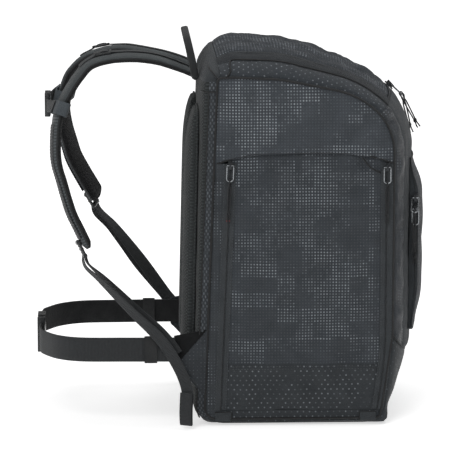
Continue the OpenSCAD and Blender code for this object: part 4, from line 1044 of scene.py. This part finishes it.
# Near-black cloth for the wing's upper part past its diagonal fold: painted shade, standing for the shadow
# and the dark belt webbing seen there.
wing_shade_cloth = cloth("wing_painted_shade_cloth", "#08090a", "#141618", rough=0.8, sheen=0.04, shine=0.3)
tab_cloth = cloth("woven_tab_polyester", "#2a2e31", "#43484c", weave=0.0016, depth=0.0004)
tab_wide, tab_low, tab_high, shade_outline_z = 0.026, 0.008, 0.0222, 0.0218
tabs = []
for _, sign in SIDES:
    for x0 in (-0.115, 0.111):
        x1 = x0 + tab_wide
        x, z = np.meshgrid(np.linspace(x0, x1, 14), np.linspace(tab_low, tab_high, 9))
        near = np.minimum(np.minimum(x - x0, x1 - x), np.minimum(z - tab_low, tab_high - z))
        y = 0.0012 + 0.0011 * (1 - bell(near, 0.0012))
        tabs.append(padded_sheet(side_grid(x, z, y, sign), 0.001, joined(z, x), 0, 0))
        # A near-black cord along each tab's inner edge and top is a painted shadow under the tab's raised
        # edges.
        inner_x, outer_x = (x1, x0) if x0 < 0 else (x0, x1)
        shade_outline = through([(inner_x, tab_low), (inner_x, 0.016), (inner_x, shade_outline_z), (x0 + tab_wide / 2, shade_outline_z),
                       (outer_x, shade_outline_z)], 6)
        tabs.append(tube(side_grid(*shade_outline.T, 0.0012, sign), 0.0008, 6, slot=1))
sewn("corner_tab_webbing", tabs, [tab_cloth, piping], "bag", "webbing", "corner_tabs")
wings = []
for _, sign in SIDES:
    k = np.linspace(0, 1, 60)
    foot, head = [np.stack([np.interp(k, (0, 0.1, 1), axis) for axis in edge], -1) for edge in
                  (((-0.1295, -0.133, -0.178), (0.054, 0.052, 0.100)),
                   ((-0.1255, -0.129, -0.178), (0.152, 0.153, 0.144)))]
    flat = foot + (head - foot) * np.linspace(0, 1, 64)[:, None, None]
    x, z = flat[..., 0], flat[..., 1]
    near = from_edges(side_grid(x, z, 0))
    y = 0.0014 + 0.0023 * (1 - bell(near, 0.005)) - 0.0008 * bell(near - 0.009, 0.0012)
    # Past the diagonal fold the wing drops back and takes the near-black cloth, painted shade.
    past_fold = (z - 0.1224) - 1.14 * (x + 0.1536)
    y = y - 0.0019 * eased(past_fold / 0.002 + 0.5)
    wings.append(padded_sheet(side_grid(x, z, y, sign), 0.0013, flat, 0, 0))
    wings[-1][3][:past_fold[1:, 1:].size] = np.where(past_fold[1:, 1:] + past_fold[:-1, :-1] > 0, 1, 0).ravel()
sewn("padded_belt_wings", wings, [wing_cloth, wing_shade_cloth], "bag", "print_fabric", "belt_wings")


# Shoulder straps: foam cut to a curve, smooth cloth outside and spacer mesh inside, near black as painted
# shade, with a folded binding along both edges and a ribbed daisy tape sewn down the outer face.
def frames(route, turn0, turn1, side=(0, 1, 0), start=0.0, stop=1.0):
    """The points of a route with the ways along it, across it and out of it, turning on the way."""
    p = np.asarray(route, float)
    q = np.vstack([p[:1], p, p[-1:]])
    t = unit(q[2:] - q[:-2])
    share = clamp((np.linspace(0, 1, len(p)) - start) / (stop - start))
    w = np.radians(turn0 + (turn1 - turn0) * share)[:, None]
    b0 = unit(np.array(side, float) - t * (t @ np.array(side, float))[:, None])
    b = b0 * np.cos(w) + np.cross(b0, t) * np.sin(w)
    return p, t, b, np.cross(b, t)


def section(ways, half_w, half_t, shape, slots=0, lift=0.0):
    """A strap of the given half width and half thickness along frames."""
    p, t, b, n = ways
    w = np.broadcast_to(half_w, (len(p),))[:, None, None]
    h = np.broadcast_to(half_t, (len(p),))[:, None, None]
    raised = n[:, None] * (h * shape[None, :, 1:] + np.asarray(lift))
    return loft(p[:, None] + b[:, None] * w * shape[None, :, :1] + raised, False, slots)


def oval(count, wide, thick):
    a = -2 * np.pi * np.arange(count) / count
    return np.stack([np.sign(v) * np.abs(v) ** power
                     for v, power in ((np.cos(a), wide), (np.sin(a), thick))], -1)


foam_half = 0.032


def strap_width(s):
    return foam_half * (0.86 + 0.14 * np.minimum(1, 5 * s)) * (1 - 0.24 * np.maximum(0, s - 0.6) / 0.4)


def strap_depth(s):
    return 0.006 + 0.0015 * np.minimum(1, 7 * s)


flat_edge = [(1, 0.5), (0.94, 1), (0.5, 1), (0, 1), (-0.5, 1), (-0.94, 1), (-1, 0.5)]
flat_shape = np.array(flat_edge + [(-x, -y) for x, y in flat_edge], float)
# Both routes are in millimetres from the straps' root on the yoke.
root = np.array((-143.8, 0, 541))
left_route = [(0, -52, 0), (-20, -53, 9), (-58, -55, 22), (-96, -58, 27), (-134, -63, 25), (-162, -68, 16),
              (-180, -73, -3), (-196, -78, -27), (-208, -82, -52), (-214, -86, -77), (-216, -91, -114),
              (-214, -94, -138), (-207, -97, -163), (-200, -100, -188), (-192, -103, -213),
              (-180, -106, -238), (-170, -108, -259)]
right_route = [(0, 52, 0), (-20, 53, 9), (-58, 55, 19), (-115, 61, 27), (-154, 66, 19), (-173, 69, 9),
               (-188, 72, -6), (-196, 74, -19), (-204, 78, -45), (-208, 82, -71), (-205, 86, -98),
               (-198, 90, -125), (-190, 94, -151), (-176, 98, -178), (-157, 103, -211)]
strap_ways = {side: frames(through([root + np.array(p) for p in route], 6) * MM, 0, turn)
              for side, route, turn in (("left", left_route, 9), ("right", right_route, -22))}
strap_cloth = cloth("smooth_strap_polyester", "#2f3436", "#484e50", rough=0.66, weave=0.0013)
binding = cloth("grosgrain_binding", "#0b0c0d", "#1a1d1f", rough=0.62, weave=0.0012)
# The straps' inner mesh is near black: painted shade of their undersides, darker than the pads' air mesh.
strap_shade_mesh = cloth("spacer_mesh_painted_shade", "#08090a", "#151719", rough=0.85, sheen=0.04, weave=0.0028,
                   depth=0.0006)
web_finish, tree, uv = new_finish("woven_nylon_webbing", True)
ribs = sums(tree, bands(tree, uv, 0.0022, "Y", 0.3),
            sums(tree, bands(tree, uv, 0.0016, "X", 0.3), 0.5, "MULTIPLY"))
shade = sums(tree, sums(tree, ribs, 0.4, "MULTIPLY"), speckle(tree, uv, 0.004, 0.0, 0.3))
surface(tree, blended(tree, shade, "#131517", "#303437"), 0.7, ribs, 0.00045, Sheen_Weight=0.12)
strap_shape = oval(44, 0.6, 0.75)
rib_pitch, daisy_half = 0.0048, 0.026
ribbed, tree, uv = new_finish("ribbed_strap_polyester", True)
ribs = bands(tree, uv, rib_pitch, "Y", 0.1)
shade = sums(tree, ribs, speckle(tree, uv, 0.0016, 0.0, 0.3))
surface(tree, blended(tree, shade, "#24282a", "#51575a"), 0.66, ribs, 0.0009, Sheen_Weight=0.1)
strap_slots = np.where(strap_shape[:, 1] > 0.05, 0, np.where(strap_shape[:, 1] < -0.05, 1, 2))
for side, (p, t, b, n) in strap_ways.items():
    s = np.linspace(0, 1, len(p))
    lead = [(p[0] - t[0] * 0.006 * k, strap_width(0), 0.006 * math.sqrt(1 - k * k))
            for k in (0.97, 0.85, 0.6, 0.3)]
    trail = [(p[-1] + t[-1] * 0.010 * k, strap_width(1) * math.sqrt(1 - k * k), 0.0075 * (1 - 0.6 * k))
             for k in (0.3, 0.5, 0.7, 0.85, 0.95, 0.985)]
    places, wide, thick = [np.array(v) for v in zip(*lead, *zip(p, strap_width(s), strap_depth(s)), *trail)]
    k = [0] * len(lead) + list(range(len(p))) + [len(p) - 1] * len(trail)
    way = run_of(places)
    dimple = 1 + 0.02 * np.sin(2 * np.pi * way / 0.037) + 0.012 * np.sin(2 * np.pi * way / 0.013)
    low_half = (way[:-1, None] > 0.55 * way[-1]) & (strap_slots == 0)
    parts = [section((places, t[k], b[k], n[k]), wide, thick * np.minimum(dimple, 1.0), strap_shape,
                     np.where(low_half, 3, strap_slots))]
    run = slice(4, len(places) - 3)
    for sign in (1, -1):
        line = places[run] + sign * b[k][run] * (wide[run] - 0.0016)[:, None]
        parts.append(tube(line, 0.0019, slot=2))
    strap = sewn(f"shoulder_strap_foam_{side}", parts, [strap_cloth, strap_shade_mesh, binding, ribbed], "harness",
                 "plain_fabric", f"shoulder_strap_{side}")
    low = slice(int(0.56 * len(p)), int(0.97 * len(p)))
    line = through(p[low], 8)
    ways = (line, unit(np.gradient(line, axis=0)), unit(through(b[low], 8)), unit(through(n[low], 8)))
    rib = 0.0009 + 0.0002 * np.cos(2 * np.pi * run_of(line) / rib_pitch)
    over_foam = 0.0076 * clamp(1 - np.abs(flat_shape[:, :1] * daisy_half / foam_half) ** (2 / 0.6)) ** 0.375
    sewn(f"daisy_tape_{side}", [section(ways, daisy_half, rib, flat_shape, 0, over_foam)], [web_finish],
         "harness", "webbing")


# Load lifters: narrow webbing along the top of each strap from its root to a flat three-bar
# buckle with an anchor loop beyond it, and moulded ladder locks with round bars at the straps' ends.
def ribbon(points, across):
    line = through(points, 6)
    along = unit(np.gradient(line, axis=0))
    wide = np.broadcast_to(across, line.shape)
    return section((line, along, wide, unit(np.cross(wide, along))), web_half, web_thick, flat_shape)


web_half, web_thick = 0.010, 0.0008
nylon, tree, here = new_finish("moulded_black_nylon")
surface(tree, blended(tree, speckle(tree, here, 0.01), "#17191b", "#232628"),
        speckle(tree, here, 0.003, 0.22, 0.36), speckle(tree, here, 0.0006), 0.00008)
lifters = []
for side, held in (("left", 24), ("right", 21)):
    p, t, b, n = strap_ways[side]
    laid = p + n * (strap_depth(np.linspace(0, 1, len(p)))[:, None] + 0.0012)
    bar = p[held] + t[held] * 0.005 + n[held] * 0.0075
    over_bar = ((-0.009, 0.0020), (-0.005, 0.0044), (0.001, 0.0052), (0.006, 0.0044), (0.009, 0.0026))
    round_bar = ((0.0155, 0.0008), (0.0135, 0.0040), (0.0095, 0.0036))
    threaded, anchor = [[bar + t[held] * along_it + n[held] * up for along_it, up in turns]
                        for turns in (over_bar, round_bar)]
    lifters.append(ribbon(list(laid[3:held - 2:2]) + threaded, b[held]))
    lifters.append(ribbon([laid[held + 9], laid[held + 7]] + anchor, b[held]))
sewn("load_lifter_straps", lifters, [web_finish], "harness", "webbing", "load_lifter_webbing")
softened("load_lifter_buckles", "load_lifter_bars", 0.0009, nylon, "harness", "buckle_plastic")
softened("ladder_locks", "ladder_lock_plates", 0.001, nylon, "harness", "buckle_plastic")
bar_half, bar_swell = 0.0138, np.array((0.7, 0.92, 1, 1, 1, 1, 1, 0.92, 0.7))
lock_bars = []
for p, t, b, n in [[v[-1] for v in ways] for ways in strap_ways.values()]:
    for along_it, radius in ((-0.0055, 0.0044), (0.006, 0.0034), (0.0172, 0.0042)):
        bar = [p + n * 0.0108 + t * along_it + b * x for x in np.linspace(-bar_half, bar_half, 9)]
        lock_bars.append(tube(bar, radius * bar_swell, 14))
sewn("ladder_lock_bars", lock_bars, [nylon], "harness", "buckle_plastic")

# Adjusting webbing: from each ladder lock down to the belt wing, with a free tail that hangs
# beside it. Both run across the place where the harness swings against the bag.
belt_z, wing_y = 122.0, 166.6
# For each side: the webbing's places from the lock and from the wing, how far the tail keeps
# beside it, the tail's own places from the wing, and how each of the two turns on its way.
web_places = {
    "left": ([(26, -10, -29), (51, -22, -52), (84, -37, -83)], [(-36, 0, 32), (-16, 0, 9), (-6, 0, -6)],
             (-5, -6, -3), [(-38, -6, 26), (-20, -6, 3), (0, -10, -32), (10, -14, -62), (9, -15, -90),
                            (9, -15, -114)], (14, 76, 0.15, 0.75), (12, 64, 0.04, 0.52)),
    "right": ([(27, 10, -34), (50, 22, -65), (76, 36, -102)], [(-26, 0, 38), (-8, 0, 12), (0, 0, -3)],
              (-6, 6, -4), [(-22, 8, 30), (2, 6, 0), (24, 8, -34), (30, 8, -62), (30, 8, -92)],
              (-22, -90, 0.2, 0.9), (-22, -90, 0.2, 0.7)),
}
web_runs, tail_runs = [], []
for side, sign in SIDES:
    p, t, b, n = [v[-1] for v in strap_ways[side]]
    lock_end = (p + n * 0.0105 + t * (0.006 + 0.0146)) / MM
    wing = np.array((-168, sign * wing_y, belt_z))
    from_lock, from_wing, beside, hanging, web_turn, tail_turn = web_places[side]
    web = [lock_end, lock_end + t * 13] + [lock_end + v for v in from_lock] + [wing + v for v in from_wing]
    tail = [lock_end + (-5, 0, 0)] + [v + np.array(beside) for v in web[1:5]] + [wing + v for v in hanging]
    web_runs.append((f"adjusting_webbing_{side}", f"lower_webbing_{side}", web, web_turn, sign, lock_end))
    tail_runs.append((f"hanging_tail_{side}", f"webbing_tail_{side}", tail, tail_turn, sign, lock_end))
for name, node, route, (turn0, turn1, start, stop), sign, lock_end in web_runs + tail_runs:
    ways = frames(through(route, 8) * MM, turn0, turn1, start=start, stop=stop)
    layers = [section(ways, web_half, web_thick, flat_shape)]
    if "tail" in name:
        p, t, b, n = [v[-1] for v in ways]
        away = n if n[1] * p[1] > 0 else -n
        folded = ((0.0, 0.0004), (-0.001, 0.0022), (0.003, 0.0042), (0.018, 0.0052), (0.038, 0.0034),
                  (0.050, 0.0018))
        layers.append(ribbon([p - t * back + away * out for back, out in folded], b))
    web = piece(name, layers, [web_finish])
    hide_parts(node)
    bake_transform(web)


# Sternum strap: elastic sleeves that slide on the shoulder straps, narrow webbing, and a small
# side-release buckle between them.
def sleeve(c, ways, half_w, half_t, shape, steps):
    t, b, n = ways
    rings = [c + t * along_it + np.outer(shape[:, 0] * (half_w + grow), b)
             + np.outer(shape[:, 1] * (half_t + grow), n) for grow, along_it in steps]
    return loft(np.stack(rings, 1), True)


elastic = cloth("knitted_elastic", "#3f454a", "#5b6267", rough=0.8, weave=0.0018, depth=0.0004)
sleeve_steps = ((0.0002, -0.0105), (0.0002, 0.0105), (0.0022, 0.0108), (0.0025, 0.0), (0.0022, -0.0108))
sleeve_at = 48
sleeve_out = 0.0075 + 0.0016 + 0.0024 + 0.0003
held_at = {side: [v[sleeve_at] for v in ways] for side, ways in strap_ways.items()}
loops = [sleeve(c, (t, b, n), 0.0352, 0.0091, oval(64, 0.45, 0.5), sleeve_steps)
         for c, t, b, n in held_at.values()]
sewn("sternum_sleeve_elastic", loops, [elastic], "sternum_strap", "webbing", "sternum_sleeves")
left_c, right_c = held_at["left"][0], held_at["right"][0]
m = np.array((min(left_c[0], right_c[0]) - sleeve_out - 0.010, 0, (left_c[2] + right_c[2]) / 2 - 0.004)) / MM
chest = []
for side, sign in SIDES:
    c, t, b, n = held_at[side]
    at = (c + n * (sleeve_out + web_thick)) / MM
    lean = math.degrees(math.atan2(-t[0], -t[2]))
    bowed, stops, start = {"left": ((-3, 16, -2), (-36, -24.6), 0.5),
                           "right": ((-5, -16, -3), (36, 20, 3), 0.3)}[side]
    route = [at + (0.5, sign * 14, 0), at, at + bowed] + [m + (0, y, 0) for y in stops]
    ways = frames(through(route, 9) * MM, sign * lean, 0, (0, 0, 1), start, start + 0.3)
    chest.append(section(ways, web_half, web_thick, flat_shape))
sewn("sternum_strap_webbing", chest, [web_finish], "sternum_strap", "webbing", "sternum_webbing")
softened("sternum_socket", "sternum_buckle_socket", 0.001, nylon, "sternum_strap", "buckle_plastic")
softened("sternum_plug", "sternum_buckle_plug", 0.0008, nylon, "sternum_plug", "buckle_plastic")

# Hip belt: wide webbing from wing to wing with an elastic keeper on each side and a large
# side-release buckle at the front.
belt_y, buckle_x = 160.5, -387.0
belt_half, belt_thick, keeper_x = 0.019, 0.0012, -0.214
keeper_steps = ((0.0, -0.0096), (0.0, 0.0096), (0.0012, 0.0099), (0.0014, 0), (0.0012, -0.0099))
# The belt's inner face takes a near-black cloth: painted shade, darker than the same webbing outside.
belt_inner_shade = cloth("belt_inner_painted_shade", "#08090a", "#16181a", rough=0.85, weave=0.0016)
belts, keepers = [], []
for (_, sign), stop in zip(SIDES, (36.4, 4)):
    route = [(x, sign * y, belt_z) for x, y in (
        (-156, belt_y), (-196, belt_y), (-256, belt_y - 2), (buckle_x + 66, belt_y - 6),
        (buckle_x + 30, belt_y - 26), (buckle_x + 8, belt_y - 60), (buckle_x, 74), (buckle_x, stop))]
    belts.append(section(frames(through(route, 9) * MM, 0, 0, (0, 0, 1)), belt_half, belt_thick, flat_shape,
                         np.where(flat_shape[:, 1] * sign > 0.6, 1, 0)))
    c = np.array((keeper_x, sign * (belt_y - 0.2) * MM, belt_z * MM))
    keepers.append(sleeve(c, np.array(((1, 0, 0), (0, 0, 1), (0, 1, 0))), 0.0200, 0.0022, oval(56, 0.5, 0.5),
                          keeper_steps))
sewn("hip_belt_webbing", belts, [web_finish, belt_inner_shade], "hip_belt", "webbing", "hip_webbing")
sewn("hip_belt_keepers", keepers, [binding], "hip_belt", "webbing", "hip_keepers")
softened("hip_socket", "hip_buckle_socket", 0.0014, nylon, "hip_belt", "buckle_plastic")
softened("hip_plug", "hip_buckle_plug", 0.0012, nylon, "hip_plug", "buckle_plastic")

# Grab handle: webbing folded over a soft core, sewn into the yoke seam at both feet.
# Its ends are rounded off where they go into the seam.
grip_up, grip_half, grip_thick = 60, 0.006, 0.0044
grip_side = [(0, -96, 0), (-4, -96, 0.35 * grip_up), (-9, -92, 0.72 * grip_up), (-12, -78, 0.93 * grip_up),
             (-13, -48, grip_up)]
grip = grip_side + [(-13, 0, grip_up)] + [(x, -y, z) for x, y, z in grip_side[::-1]]
p, t, b, n = frames(through(root + np.array((1, 0, 0)) + np.array(grip), 8) * MM, 0, 0, (1, 0, 0.2))
cuts = (0.96, 0.8, 0.45)
lead = [p[0] - t[0] * grip_half * k for k in cuts]
trail = [p[-1] + t[-1] * grip_half * k for k in cuts[::-1]]
ends = [math.sqrt(1 - k * k) for k in cuts]
k = [0] * 3 + list(range(len(p))) + [len(p) - 1] * 3
wide = grip_half * np.array(ends + [1] * len(p) + ends[::-1])
grip_ways = (np.array(lead + list(p) + trail), t[k], b[k], n[k])
sewn("grab_handle_webbing", [section(grip_ways, wide, grip_thick, oval(20, 0.5, 0.7))], [binding], "handle",
     "webbing", "grab_handle")

# Stitching: bonded thread in rows beside the seams, one group of rows for each moving body.
# Each row lies on its cloth: beside the hood, the zips, the gussets and the doors' lapped seams.
thread, tree, here = new_finish("bonded_sewing_thread")
surface(tree, blended(tree, speckle(tree, here, 0.002), "#3b3f43", "#5d6266"), 0.6)
stitch, stitch_pitch, off_coil = (0.0031, 0.0008, 0.0007), 0.0045, 0.0080
edge, z = np.linspace(-0.100, 0.150, 120), np.linspace(0.03, 0.408, 120)
bag_rows = []
for _, sign in SIDES:
    out = np.array((0, sign, 0))
    for up in (0.0045, 0.0085):
        y = hood_swell * bell(up, hood_fade) * hood_share(edge) + 0.0004
        bag_rows.append((side_grid(edge, hood_at(edge) + up, y, sign), out))
    for zip_line, way in ((rear_zip, -1), (front_zip, 1)):
        bag_rows.append((side_grid(zip_line(z) + way * off_coil, z, 0.0009, sign), out))
    for far in (1.6, -1.6):
        bag_rows.append(bag_line(np.linspace(11.2, 28.1, 300), sign * (gusset_a + far), -0.0010))
    bag_rows.append(bag_line(np.linspace(28.4, 40.8, 300), sign * (gusset_a + 1.8), -0.0009))
sow("bag_stitching", bag_rows, stitch_pitch, stitch, thread, "bag", "plain_fabric")
for side, sign in SIDES:
    out = np.array((0, sign, 0))
    door_rows = []
    for below in (0.0035, 0.0075):
        dx, dz, dy = door_face(np.linspace(0.06, 0.94, 120), (seam_z - below - sill) / 0.395)
        door_rows.append((side_grid(dx, dz, dy + 0.0002, sign), out))
    for zip_line, way in ((rear_zip, 1), (front_zip, -1)):
        dx = zip_line(z) + way * off_coil
        door_rows.append((side_grid(dx, z, door_swell(*door_place(dx, z)) + 0.0008, sign), out))
    sow(f"door_stitching_{side}", door_rows, stitch_pitch, stitch, thread, f"door_{side}", "print_fabric")

# Studio: a wide pale floor under the bag, a white room round it and two soft lamps, at a level
# at which the cloth shows its own colour.
floor_finish, tree, here = new_finish("pale_studio_floor")
path = add(tree, "ShaderNodeLightPath").outputs
seen = sums(tree, path["Is Glossy Ray"], path["Is Transmission Ray"], "MAXIMUM")
seen = sums(tree, path["Is Camera Ray"], seen, "MAXIMUM")
shade = add(tree, "ShaderNodeBsdfDiffuse", {"Color": (0.86, 0.86, 0.86, 1)})
bright = ramp(tree, vectors(tree, "LENGTH", here), 0.35, 1.6, 0.6, 0.95)
lit = sums(tree, seen, bright, "MULTIPLY")
glow = add(tree, "ShaderNodeEmission", {"Color": (1, 1, 1, 1), "Strength": lit})
both = add(tree, "ShaderNodeAddShader", {0: shade.outputs[0], 1: glow.outputs[0]})
add(tree, "ShaderNodeOutputMaterial", {"Surface": both.outputs[0]})
mesh = bpy.data.meshes.new("studio_floor")
mesh.from_pydata([(-30, -30, 0), (30, -30, 0), (30, 30, 0), (-30, 30, 0)], [], [(0, 1, 2, 3)])
mesh.materials.append(floor_finish)
floor = place("studio_floor", mesh)
room = bpy.data.worlds.new("white_room")
room.use_nodes = True
tree = room.node_tree
tree.nodes.clear()
path = add(tree, "ShaderNodeLightPath").outputs
level = ramp(tree, sums(tree, path["Is Camera Ray"], path["Is Transmission Ray"], "MAXIMUM"), low=0.26)
sky = add(tree, "ShaderNodeBackground", {"Color": (1, 1, 1, 1), "Strength": level})
add(tree, "ShaderNodeOutputWorld", {"Surface": sky.outputs[0]})
scene.world = room
lit_at = Vector((0, 0, 0.3))
for name, spot, wide, power in (("key_softbox", (-1.2, -2.6, 2.4), 1.8, 42),
                                ("top_softbox", (0.6, 0.2, 2.8), 1.6, 26)):
    lamp = bpy.data.lights.new(name, "AREA")
    lamp.shape = "SQUARE"
    lamp.size = wide
    lamp.energy = power
    light = place(name, lamp)
    light.location = spot
    light.rotation_euler = (lit_at - Vector(spot)).to_track_quat("-Z", "Y").to_euler()
